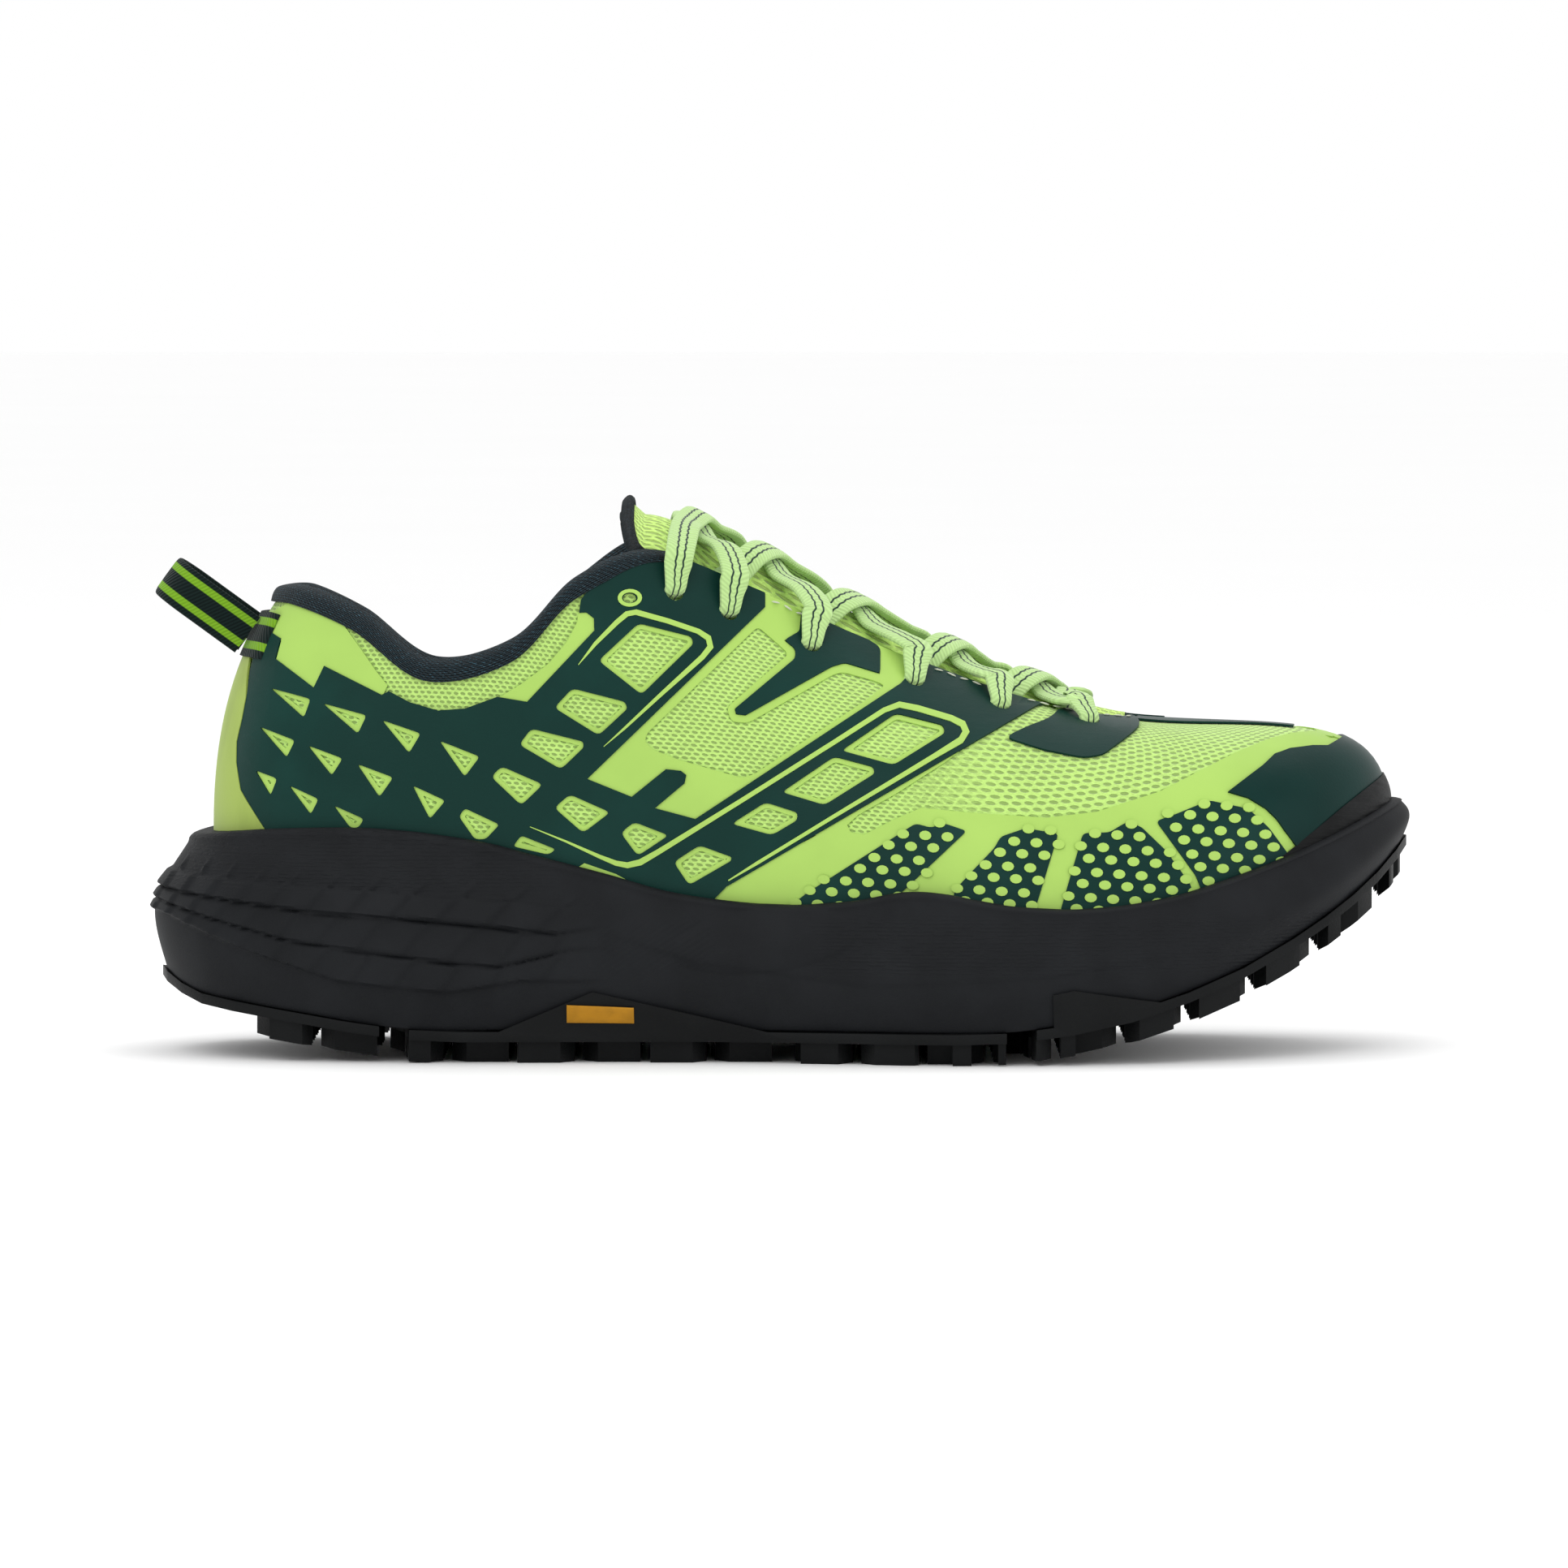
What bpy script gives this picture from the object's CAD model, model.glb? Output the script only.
import math

import bmesh
import bpy
import numpy as np
from bpy.props import FloatProperty, FloatVectorProperty, PointerProperty
from mathutils import Matrix, Vector, kdtree


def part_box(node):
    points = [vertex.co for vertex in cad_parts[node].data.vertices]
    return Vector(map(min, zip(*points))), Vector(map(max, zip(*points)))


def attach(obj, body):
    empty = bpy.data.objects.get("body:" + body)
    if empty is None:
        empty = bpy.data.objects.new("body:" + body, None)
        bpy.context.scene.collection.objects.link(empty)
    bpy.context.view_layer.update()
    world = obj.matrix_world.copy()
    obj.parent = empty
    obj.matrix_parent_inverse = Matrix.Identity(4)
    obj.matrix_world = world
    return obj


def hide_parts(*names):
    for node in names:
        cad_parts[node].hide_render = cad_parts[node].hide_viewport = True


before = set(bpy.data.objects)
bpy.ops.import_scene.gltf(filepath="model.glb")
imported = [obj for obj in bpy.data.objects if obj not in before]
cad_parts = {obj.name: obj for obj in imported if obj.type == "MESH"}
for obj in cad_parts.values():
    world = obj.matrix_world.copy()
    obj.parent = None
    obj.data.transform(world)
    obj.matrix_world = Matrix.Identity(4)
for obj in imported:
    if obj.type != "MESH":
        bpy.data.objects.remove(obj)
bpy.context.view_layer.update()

bl_info = {
    "name": "Trail running shoe",
    "version": (1, 0, 0),
    "blender": (4, 5, 0),
    "location": "View3D > Sidebar > Shoe",
    "description": "Builds the finished pieces of a trail running shoe over its solids",
    "category": "Add Mesh",
}

MM = 0.001

# ---------------------------------------------------------------- the shoe's own surfaces, in millimetres
# Stations run round the shoe: 0 at the middle of the heel, 1-12 down the lateral side, 13 at the toe.
FEATHER = [  # where the upper meets the board, seen from above
    (-134, 0), (-128, -20), (-110, -33.5), (-85, -37.5), (-58, -37.5), (-35, -37.5), (-15, -39), (8, -43),
    (32, -48), (58, -49.5), (85, -45), (110, -33.5), (131, -16), (143.5, 11), (138, 33), (119, 45),
    (92, 50.5), (64, 50), (36, 43.5), (10, 36.5), (-15, 32), (-37, 32), (-60, 34), (-86, 36), (-110, 33),
    (-128, 20),
]
TOPLINE = [  # the collar's edge, and the throat's
    (-119, 0, 110.5), (-113.5, -16, 110.5), (-101, -27, 105.5), (-84, -35.5, 94), (-64, -37, 98.5),
    (-49, -33.5, 113), (-32, -27.5, 119.5), (-9, -19, 111.5), (15, -14, 100.2), (42, -10, 89.2),
    (62, -6, 82.5), (75, -2, 79.8), (82, 2.7, 79), (85, 8.5, 78.8), (82.5, 13.7, 79), (76, 17, 79.8),
    (63, 19, 82.5), (43, 20, 89.8), (16, 20, 101.5), (-8, 21.5, 113.5), (-32, 28, 121.5),
    (-49, 33.5, 111.5), (-64, 36.5, 96.5), (-84, 35, 91.5), (-101, 27, 103.5), (-113.5, 16, 110),
]
WALL_SHAPE = [  # heel to toe: foot bulge, foot rise, top overhang, top drop
    (3, 28, 16.5, 22.5), (3, 28, 12, 22), (3, 26, 6, 22), (3, 20, 4, 20), (3, 20, 4, 20), (3, 26, 7, 22),
    (2, 32, 9, 21), (2, 32, 13, 19), (3, 28, 18, 13), (4, 27, 22, 9), (5, 27, 26, 6), (6, 30, 30, 4.5),
    (6, 33, 33, 3.5), (6, 35, 35, 3),
]
SOLE_FLARE = [  # heel to toe: how far the midsole stands out at its bottom, widest and top
    (13, 16, 6.5), (10.5, 13, 5.5), (6.5, 9.5, 4.6), (4.5, 9, 4.2), (4, 9, 4.2), (3, 7.5, 4), (2, 6.5, 3.8),
    (2, 6.5, 3.8), (2.5, 6.5, 3.8), (3, 6.5, 4), (3, 7, 4), (3, 7.5, 4), (4, 7, 4), (4.5, 6.5, 4),
]
GROUND_CURVE = [
    (-152, 15), (-140, 8.6), (-127, 6.2), (-112, 3.9), (-88, 0.4), (-62, 0), (-30, 0), (0, 0), (28, 0),
    (46, 0), (62, 1.4), (84, 5.8), (107, 14.2), (125, 24), (140, 34.5), (152, 46),
]
FOOTBED_CURVE = [
    (-140, 35), (-110, 33), (-60, 31.5), (0, 28.5), (50, 26.5), (76, 27.5), (100, 32), (125, 41), (150, 53),
]
WALL_TOP_CURVE = [
    (-150, 50), (-138, 52.5), (-120, 54.6), (-96, 55), (-73, 52.3), (-58, 48.6), (-42, 44.4), (-27, 40.2),
    (-12, 38), (2, 37.3), (16, 38.4), (28, 40.6), (38, 40.2), (52, 37.6), (71, 36.7), (90, 39), (105, 43),
    (120, 48), (135, 54), (150, 60.5),
]
STATIONS = len(FEATHER)
TOE = STATIONS / 2
CLEARANCE = 0.3
MESH_THICKNESS = 1.4
BOARD_THICKNESS = 1.6
EYELET_SETBACK = 9
COLLAR_DEPTH = 30
COLLAR_ROLL = 4.5
COLLAR_END = 5.5
WIDEST_AT = 0.42


def hermite(p1, p2, m1, m2, w):
    """A cubic from p1 to p2 with the slopes m1 and m2 at its ends."""
    return p1 + w * m1 + w**2 * (3 * p2 - 3 * p1 - 2 * m1 - m2) + w**3 * (2 * p1 - 2 * p2 + m1 + m2)


def slopes(p0, p1, p2, p3, d0, d1, d2):
    """The slopes at p1 and p2 of a curve whose four points lie d0, d1 and d2 apart."""
    m1 = ((p1 - p0) / d0 - (p2 - p0) / (d0 + d1) + (p2 - p1) / d1) * d1
    m2 = ((p2 - p1) / d1 - (p3 - p1) / (d1 + d2) + (p3 - p2) / d2) * d1
    return m1, m2


def unit(vectors):
    return vectors / np.maximum(np.linalg.norm(vectors, axis=1), 1e-9)[:, None]


def ring(points, u):
    """A closed smooth curve through points, read at u, where one turn is 1."""
    p = np.array([tuple(q) + (0,) * (3 - len(q)) for q in points], float)
    s = np.mod(u, 1.0) * len(p)
    i = np.floor(s).astype(int) % len(p)
    w = (s - np.floor(s))[:, None]
    p0, p1, p2, p3 = (p[(i + k) % len(p)] for k in (-1, 0, 1, 2))
    d0, d1, d2 = (np.sqrt(np.linalg.norm(b - a, axis=1))[:, None] for a, b in ((p0, p1), (p1, p2), (p2, p3)))
    m1, m2 = slopes(p0, p1, p2, p3, d0, d1, d2)
    return hermite(p1, p2, m1, m2, w)


def through(values, s):
    """An open smooth curve through equally spaced values, read at s from 0 to len - 1."""
    v = np.array(values, float)
    i = np.clip(np.floor(s).astype(int), 0, len(v) - 2)
    w = s - i
    p0, p1, p2, p3 = (v[np.abs(len(v) - 1 - np.abs(len(v) - 1 - np.abs(i + k)))] for k in (-1, 0, 1, 2))
    m1, m2 = (p2 - p0) / 2, (p3 - p1) / 2
    w = w if v.ndim == 1 else w[:, None]
    return hermite(p1, p2, m1, m2, w)


def height_over(points):
    """A side-view curve as a height over x."""
    xz = through(points, np.linspace(0, len(points) - 1, 12 * len(points)))
    return lambda x: np.interp(x, xz[:, 0], xz[:, 1])


ground_curve = height_over(GROUND_CURVE)
footbed = height_over(FOOTBED_CURVE)
wall_top = height_over(WALL_TOP_CURVE)


def foam_bottom(x):
    return np.maximum(ground_curve(x), 0) + 7.7


def stations_from_heel(u):
    s = np.mod(u, 1.0) * STATIONS
    return np.minimum(s, STATIONS - s)


def outward(u):
    tangent = ring(FEATHER, u + 0.002) - ring(FEATHER, u - 0.002)
    out = np.column_stack((tangent[:, 1], -tangent[:, 0], np.zeros(len(u))))
    return unit(out)


def skin_point(u, t):
    """The upper's outer surface: u round the shoe, t from the board (0) to the topline (1)."""
    foot = ring(FEATHER, u)
    foot[:, 2] = footbed(foot[:, 0]) - BOARD_THICKNESS
    top = ring(TOPLINE, u)
    out = outward(u)
    bulge, rise, overhang, drop = through(WALL_SHAPE, stations_from_heel(u)).T
    low = foot + out * bulge[:, None]
    low[:, 2] += rise
    high = top + out * overhang[:, None]
    high[:, 2] -= drop
    t = t[:, None]
    return SHIFT + foot * (1 - t) ** 3 + low * 3 * t * (1 - t) ** 2 + high * 3 * t**2 * (1 - t) + top * t**3


def skin_frame(u, t):
    """The outward direction and the rising direction at a place on the skin."""
    t = np.clip(t, 0.003, 0.997)
    round_it = skin_point(u + 0.003, t) - skin_point(u - 0.003, t)
    rise = skin_point(u, t + 0.003) - skin_point(u, t - 0.003)
    normal = np.cross(round_it, rise)
    return unit(normal), unit(rise)


def skin(u, t, offset=0.0):
    offset = np.broadcast_to(np.asarray(offset, float), np.shape(u))
    return skin_point(u, t) + skin_frame(u, t)[0] * offset[:, None]


def sole_point(u, w, offset=0.0):
    """The midsole's outer wall: w from its bottom edge (0) to its top edge (1)."""
    p = ring(FEATHER, u)
    bottom, widest, top = through(SOLE_FLARE, stations_from_heel(u)).T
    low = np.sin(np.clip(w / WIDEST_AT, 0, 1) * math.pi / 2)
    high = np.cos(np.clip((w - WIDEST_AT) / (1 - WIDEST_AT), 0, 1) * math.pi / 2)
    flare = np.where(w < WIDEST_AT, bottom + (widest - bottom) * low, top + (widest - top) * high)
    p += outward(u) * (flare + offset)[:, None]
    floor, roof = foam_bottom(p[:, 0]), wall_top(p[:, 0])
    p[:, 2] = floor + (roof - floor) * w
    return p + SHIFT


def _board_shift():
    """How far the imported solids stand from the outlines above, which are drawn about their own middle."""
    u = np.linspace(0, 1, 1041)
    board = ring(FEATHER, u) - outward(u) * (MESH_THICKNESS + CLEARANCE)
    low, high = (np.array(corner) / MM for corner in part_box("strobel_board"))
    shift = (low + high) / 2 - (board.min(0) + board.max(0)) / 2
    shift[2] = 0
    return shift


SHIFT = _board_shift()

# Distances down from the topline, as a table of t over u and depth.
_COLUMNS = 1040
_DEPTH_STEP = 0.5
_DEPTHS = np.arange(0, 61, _DEPTH_STEP)


def _depth_table():
    steps = np.linspace(1, 0, 90)
    rows = [skin_point((np.arange(_COLUMNS) / _COLUMNS), np.full(_COLUMNS, t)) for t in steps]
    spans = [np.linalg.norm(b - a, axis=1) for a, b in zip(rows, rows[1:])]
    lengths = np.cumsum([np.zeros(_COLUMNS)] + spans, 0)
    table = np.array([np.interp(_DEPTHS, lengths[:, k], steps) for k in range(_COLUMNS)])
    return table, lengths, steps


DEPTH_TABLE, _lengths, _steps = _depth_table()
WALL_LENGTH = _lengths[-1]


def t_below_top(u, distance):
    """The t that lies a distance down from the topline, along the skin."""
    c = np.mod(u, 1.0) * _COLUMNS
    i = np.floor(c).astype(int) % _COLUMNS
    distance = np.broadcast_to(np.asarray(distance, float), np.shape(u))
    d = np.clip(distance / _DEPTH_STEP, 0, len(_DEPTHS) - 1.001)
    j = np.floor(d).astype(int)
    wc, wd = c - np.floor(c), d - j

    def at(i, j):
        return DEPTH_TABLE[i % _COLUMNS, j]

    near = at(i, j) * (1 - wd) + at(i, j + 1) * wd
    far = at(i + 1, j) * (1 - wd) + at(i + 1, j + 1) * wd
    return near * (1 - wc) + far * wc


def skin_uv(u, t):
    """Lengths in metres round the shoe and up it, for patterns that follow the skin."""
    around = np.mod(u, 1.0)
    rings = ring(FEATHER, np.linspace(0, 1, _COLUMNS + 1))
    girth = np.concatenate(([0], np.cumsum(np.linalg.norm(np.diff(rings, axis=0), axis=1))))
    along = np.interp(around, np.linspace(0, 1, _COLUMNS + 1), girth)
    column = np.round(around * _COLUMNS).astype(int) % _COLUMNS
    full = np.interp(around, np.arange(_COLUMNS) / _COLUMNS, WALL_LENGTH)
    climbed = _lengths[::-1] / WALL_LENGTH
    share = np.array([np.interp(value, _steps[::-1], climbed[:, c]) for value, c in zip(t, column)])
    return np.column_stack((along, (1 - share) * full)) * MM


# ---------------------------------------------------------------- the side view, in which patterns are drawn
TILT = math.radians(3.0)
REACH = 2500.0
SIGHT = np.array([0, math.cos(TILT), -math.sin(TILT)])
UPWARD = np.array([0, math.sin(TILT), math.cos(TILT)])
SOLE_EDGE = -50 * math.sin(TILT)
EYE = UPWARD * (66.06 + SOLE_EDGE) + np.array([0.2, 0, 0]) - SIGHT * REACH
VIEW_WIDTH = 375.4


def seen_from_side(points):
    away = points - EYE
    flat = EYE + away * (REACH / (away @ SIGHT))[:, None]
    return np.column_stack((flat[:, 0], flat @ UPWARD - SOLE_EDGE))


def _side_lookup():
    u, t = (g.ravel() for g in np.meshgrid(np.linspace(0.001, 0.53, 420), np.linspace(0, 1, 90)))
    seen = seen_from_side(skin_point(u, t))
    normal, _ = skin_frame(u, t)
    facing = np.where((normal @ SIGHT) < 0.05)[0]
    tree = kdtree.KDTree(len(facing))
    for k in facing:
        tree.insert((seen[k, 0], seen[k, 1], 0), int(k))
    tree.balance()
    return tree, u, t


_tree, _u, _t = _side_lookup()


def from_side(xz):
    """Places drawn in side view, as (u, t) on the lateral skin."""
    xz = np.asarray(xz, float)
    nearest = [_tree.find((x, z, 0))[1] for x, z in xz]
    u, t = _u[nearest].copy(), _t[nearest].copy()
    best_u, best_t = u.copy(), t.copy()
    best = np.full(len(u), np.inf)
    h = 1e-4
    for _ in range(10):
        here = seen_from_side(skin_point(u, t))
        miss = xz - here
        error = np.linalg.norm(miss, axis=1)
        better = error < best
        best_u[better], best_t[better], best[better] = u[better], t[better], error[better]
        du = (seen_from_side(skin_point(u + h, t)) - here) / h
        inner = np.where(t > 0.5, -h, h)
        dt = (seen_from_side(skin_point(u, t + inner)) - here) / inner[:, None]
        det = du[:, 0] * dt[:, 1] - du[:, 1] * dt[:, 0]
        det = np.where(np.abs(det) < 1, 1, det)
        u = np.clip(u + np.clip((miss[:, 0] * dt[:, 1] - miss[:, 1] * dt[:, 0]) / det, -0.01, 0.01), 0, 0.54)
        t = np.clip(t + np.clip((du[:, 0] * miss[:, 1] - du[:, 1] * miss[:, 0]) / det, -0.1, 0.1), 0, 1)
    return best_u, best_t


# ---------------------------------------------------------------- making meshes
def finish_mesh(name, bm, material, body, sharp=40.0, replaced=(), closed=True):
    """A named piece from a mesh in millimetres: merged, turned outward, with its finish and its body."""
    bmesh.ops.remove_doubles(bm, verts=bm.verts[:], dist=0.004)
    bmesh.ops.dissolve_degenerate(bm, edges=bm.edges[:], dist=0.002)
    if closed:
        bmesh.ops.recalc_face_normals(bm, faces=bm.faces[:])
    bmesh.ops.scale(bm, verts=bm.verts[:], vec=(MM, MM, MM))
    mesh = bpy.data.meshes.new(name)
    bm.to_mesh(mesh)
    bm.free()
    mesh.shade_smooth()
    mesh.set_sharp_from_angle(angle=math.radians(sharp))
    piece = bpy.data.objects.new(name, mesh)
    bpy.context.scene.collection.objects.link(piece)
    mesh.materials.append(material)
    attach(piece, body)
    if replaced:
        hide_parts(*replaced)
    return piece


def coordinates(bm):
    bm.verts.ensure_lookup_table()
    bm.verts.index_update()
    return np.array([v.co[:] for v in bm.verts])


def move_to(bm, points):
    for v, p in zip(bm.verts, points):
        v.co = p


def give_uv(bm, uv):
    layer = bm.loops.layers.uv.new("laid")
    for face in bm.faces:
        for loop in face.loops:
            loop[layer].uv = uv[loop.vert.index]


def face_along(bm, directions):
    """Turns an open sheet so that its faces look along the directions given at its points."""
    bm.normal_update()
    total = sum(face.normal.dot(Vector(directions[face.verts[0].index])) for face in bm.faces)
    if total < 0:
        bmesh.ops.reverse_faces(bm, faces=bm.faces[:])
        bm.normal_update()


def laid_grid(columns, rows, place, facing, uv=None):
    """A grid, a and b from 0 to 1, whose points go where place(a, b) says and face as facing(a, b) says."""
    bm = bmesh.new()
    bmesh.ops.create_grid(bm, x_segments=columns, y_segments=rows, size=0.5)
    ab = coordinates(bm)[:, :2] + 0.5
    a, b = ab[:, 0], ab[:, 1]
    move_to(bm, place(a, b))
    give_uv(bm, uv(a, b) if uv else ab)
    face_along(bm, facing(a, b))
    return bm


def scaled_uv(width, height):
    """A layout for a grid, in metres."""
    return lambda a, b: np.column_stack((a * width, b * height))


def facing_to(*direction):
    """A facing that is the same all over a grid."""
    return lambda a, b: np.tile(direction, (len(a), 1))


def thicken(bm, under):
    """Closes an open sheet with a second face, whose points are given by under."""
    inner = bm.verts.layers.float_vector.new("inner")
    for v, p in zip(bm.verts, under):
        v[inner] = p
    bmesh.ops.remove_doubles(bm, verts=bm.verts[:], dist=0.02)
    bmesh.ops.dissolve_degenerate(bm, edges=bm.edges[:], dist=0.01)
    made = bmesh.ops.extrude_face_region(bm, geom=bm.faces[:], use_keep_orig=True)
    for part in made["geom"]:
        if isinstance(part, bmesh.types.BMVert):
            part.co = part[inner]
    bm.verts.layers.float_vector.remove(inner)


def behind(bm, depth):
    """The points of a sheet moved back along its own normals."""
    bm.normal_update()
    return [v.co - v.normal * depth for v in bm.verts]


def outline_bmesh(outline, holes=(), cell=2.5):
    """A flat shape with holes, cut into cells small enough to bend over the skin."""
    bm = bmesh.new()
    edges = []
    for loop in (outline, *holes):
        verts = [bm.verts.new((x, z, 0)) for x, z in loop]
        edges += [bm.edges.new(pair) for pair in zip(verts, verts[1:] + verts[:1])]
    bmesh.ops.triangle_fill(bm, use_beauty=True, use_dissolve=False, edges=edges, normal=(0, 0, 1))
    low, high = coordinates(bm).min(0), coordinates(bm).max(0)
    for axis in (0, 1):
        direction = (1, 0, 0) if axis == 0 else (0, 1, 0)
        for k in np.arange(low[axis] + cell * 0.5, high[axis], cell):
            at = (k, 0, 0) if axis == 0 else (0, k, 0)
            geometry = bm.verts[:] + bm.edges[:] + bm.faces[:]
            bmesh.ops.bisect_plane(bm, geom=geometry, dist=1e-4, plane_co=at, plane_no=direction)
    return bm


def rounded(loop, radius, steps=3):
    """The corners of a loop rounded off."""
    result = []
    n = len(loop)
    for k in range(n):
        before, here, after = (np.array(loop[(k + d) % n], float) for d in (-1, 0, 1))
        back, ahead = before - here, after - here
        reach = min(radius, np.linalg.norm(back) * 0.45, np.linalg.norm(ahead) * 0.45)
        start = here + back / np.linalg.norm(back) * reach
        end = here + ahead / np.linalg.norm(ahead) * reach
        for j in range(steps + 1):
            s = j / steps
            result.append(tuple(start * (1 - s) ** 2 + here * 2 * s * (1 - s) + end * s**2))
    return result


def shrunk(loop, inset):
    """A convex or nearly convex loop drawn in by a distance on every side."""
    p = np.array(loop, float)
    area = np.sum(p[:, 0] * np.roll(p[:, 1], -1) - np.roll(p[:, 0], -1) * p[:, 1])
    edge = unit(np.roll(p, -1, 0) - p)
    inward = np.column_stack((-edge[:, 1], edge[:, 0])) * np.sign(area)
    both = unit(inward + np.roll(inward, 1, 0))
    lean = np.clip(np.sum(both * inward, 1), 0.35, 1)
    return [tuple(q) for q in p + both * (inset / lean)[:, None]]


def inside(loop, x, z):
    hit = False
    for (x0, z0), (x1, z1) in zip(loop, loop[1:] + loop[:1]):
        if (z0 > z) != (z1 > z) and x < (x1 - x0) * (z - z0) / (z1 - z0) + x0:
            hit = not hit
    return hit


def ribbon(points, widths):
    """A narrow band along a path, as an outline."""
    p = np.array(points, float)
    step = np.gradient(p, axis=0)
    step /= np.linalg.norm(step, axis=1)[:, None]
    side = np.column_stack((-step[:, 1], step[:, 0])) * (np.array(widths) / 2)[:, None]
    return [tuple(q) for q in p + side] + [tuple(q) for q in (p - side)[::-1]]


GIRTH, RISE = 700.0, 70.0  # scales at which shapes given in (u, t) are drawn flat
SIDES = ((-1, "lateral"), (1, "medial"))


def laid_film(name, flat, material, lift, depth, side, drawn="side", replaced=(), slot="bonded_film"):
    """A flat shape laid on one side of the upper: side -1 is lateral, 1 is medial."""
    bm = flat.copy()
    drawing = coordinates(bm)
    if drawn == "side":
        u, t = from_side(drawing[:, :2])
    else:
        u, t = drawing[:, 0] / GIRTH, drawing[:, 1] / RISE
    if side > 0:
        u = 1 - u
    give_uv(bm, skin_uv(u, t))
    move_to(bm, skin(u, t, lift))
    face_along(bm, skin_frame(u, t)[0])
    thicken(bm, skin(u, t, lift - depth))
    return finish_mesh(name, bm, material, "shoe", replaced=replaced)


# ---------------------------------------------------------------- finishes
class Recipe:
    """A material being made, with short ways to add its nodes."""

    def __init__(self, name, roughness, gloss=0.2, **sockets):
        self.material = bpy.data.materials.new(name)
        self.material.use_nodes = True
        self.nodes = self.material.node_tree.nodes
        self.links = self.material.node_tree.links
        self.shader = self.nodes["Principled BSDF"]
        self.shader.inputs["Roughness"].default_value = roughness
        self.shader.inputs["Specular IOR Level"].default_value = gloss
        for socket, value in sockets.items():
            self.shader.inputs[socket.replace("_", " ")].default_value = value

    def feed(self, socket, value):
        if hasattr(value, "is_output"):
            self.links.new(value, socket)
        else:
            socket.default_value = value

    def math(self, operation, *values):
        node = self.nodes.new("ShaderNodeMath")
        node.operation = operation
        for socket, value in zip(node.inputs, values):
            self.feed(socket, value)
        return node.outputs[0]

    def plus(self, a, b):
        return self.math("ADD", a, b)

    def minus(self, a, b):
        return self.math("SUBTRACT", a, b)

    def times(self, a, b):
        return self.math("MULTIPLY", a, b)

    def over(self, a, b):
        return self.math("DIVIDE", a, b)

    def uv(self):
        node = self.nodes.new("ShaderNodeUVMap")
        node.uv_map = "laid"
        return self.split(node.outputs[0])

    def split(self, vector):
        node = self.nodes.new("ShaderNodeSeparateXYZ")
        self.links.new(vector, node.inputs[0])
        return node.outputs

    def place(self):
        return self.nodes.new("ShaderNodeTexCoord").outputs["Object"]

    def attribute(self, name):
        node = self.nodes.new("ShaderNodeAttribute")
        node.attribute_name = name
        return node.outputs["Fac"]

    def noise(self, scale, detail, stretch=(1, 1, 1)):
        mapping = self.nodes.new("ShaderNodeMapping")
        mapping.inputs["Scale"].default_value = stretch
        self.links.new(self.place(), mapping.inputs["Vector"])
        node = self.nodes.new("ShaderNodeTexNoise")
        node.inputs["Scale"].default_value = scale
        node.inputs["Detail"].default_value = detail
        self.links.new(mapping.outputs[0], node.inputs["Vector"])
        return node.outputs["Fac"]

    def ramp(self, value, low, high):
        node = self.nodes.new("ShaderNodeMapRange")
        node.interpolation_type = "SMOOTHSTEP"
        self.feed(node.inputs["Value"], value)
        self.feed(node.inputs["From Min"], low)
        self.feed(node.inputs["From Max"], high)
        return node.outputs["Result"]

    def mix(self, share, first, second):
        node = self.nodes.new("ShaderNodeMix")
        node.data_type = "RGBA"
        self.feed(node.inputs[0], share)
        self.feed(node.inputs[6], first)
        self.feed(node.inputs[7], second)
        return node.outputs[2]

    def cells(self, x, y, pitch_x, pitch_y, wide, high, lean=0.0):
        """1 inside the ovals of a staggered pattern, 0 between them."""
        row = self.over(y, pitch_y)
        number = self.math("FLOOR", row)
        shift = self.times(self.math("MODULO", number, 2.0), 0.5)
        column = self.plus(self.plus(self.over(x, pitch_x), 100.0), shift)
        dy = self.minus(self.math("FRACT", row), 0.5)
        dx = self.minus(self.math("FRACT", column), 0.5)
        if lean:
            dx = self.plus(dx, self.times(dy, lean))
        rx = self.over(dx, wide)
        ry = self.over(dy, high)
        far = self.plus(self.times(rx, rx), self.times(ry, ry))
        return self.minus(1.0, self.ramp(far, 0.45, 1.25))

    def colour(self, value):
        self.feed(self.shader.inputs["Base Color"], value)

    def bump(self, height, strength=0.6, distance=0.0003):
        node = self.nodes.new("ShaderNodeBump")
        node.inputs["Strength"].default_value = strength
        node.inputs["Distance"].default_value = distance
        self.links.new(height, node.inputs["Height"])
        self.links.new(node.outputs[0], self.shader.inputs["Normal"])
        return self.material


def shade(colour, factor):
    return tuple(min(1, c * factor) for c in colour[:3]) + (1.0,)


def colours():
    return bpy.context.scene.shoe_colours


def sizes():
    return bpy.context.scene.shoe_sizes


def cached(make):
    def find():
        name = "finish_" + make.__name__
        return bpy.data.materials.get(name) or make(name)

    return find


def tone(colour):
    return tuple(colour) + (1.0,)


def speckled(name, roughness, base, factor, speckle, grain, band=None, **sockets):
    """A finish of one colour that drifts to a shade of itself, over a fine grain."""
    r = Recipe(name, roughness, **sockets)
    share = r.noise(*speckle)
    if band:
        share = r.ramp(share, *band)
    r.colour(r.mix(share, base, shade(base, factor)))
    scale, detail, strength, distance = grain
    return r.bump(r.noise(scale, detail), strength, distance)


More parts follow.
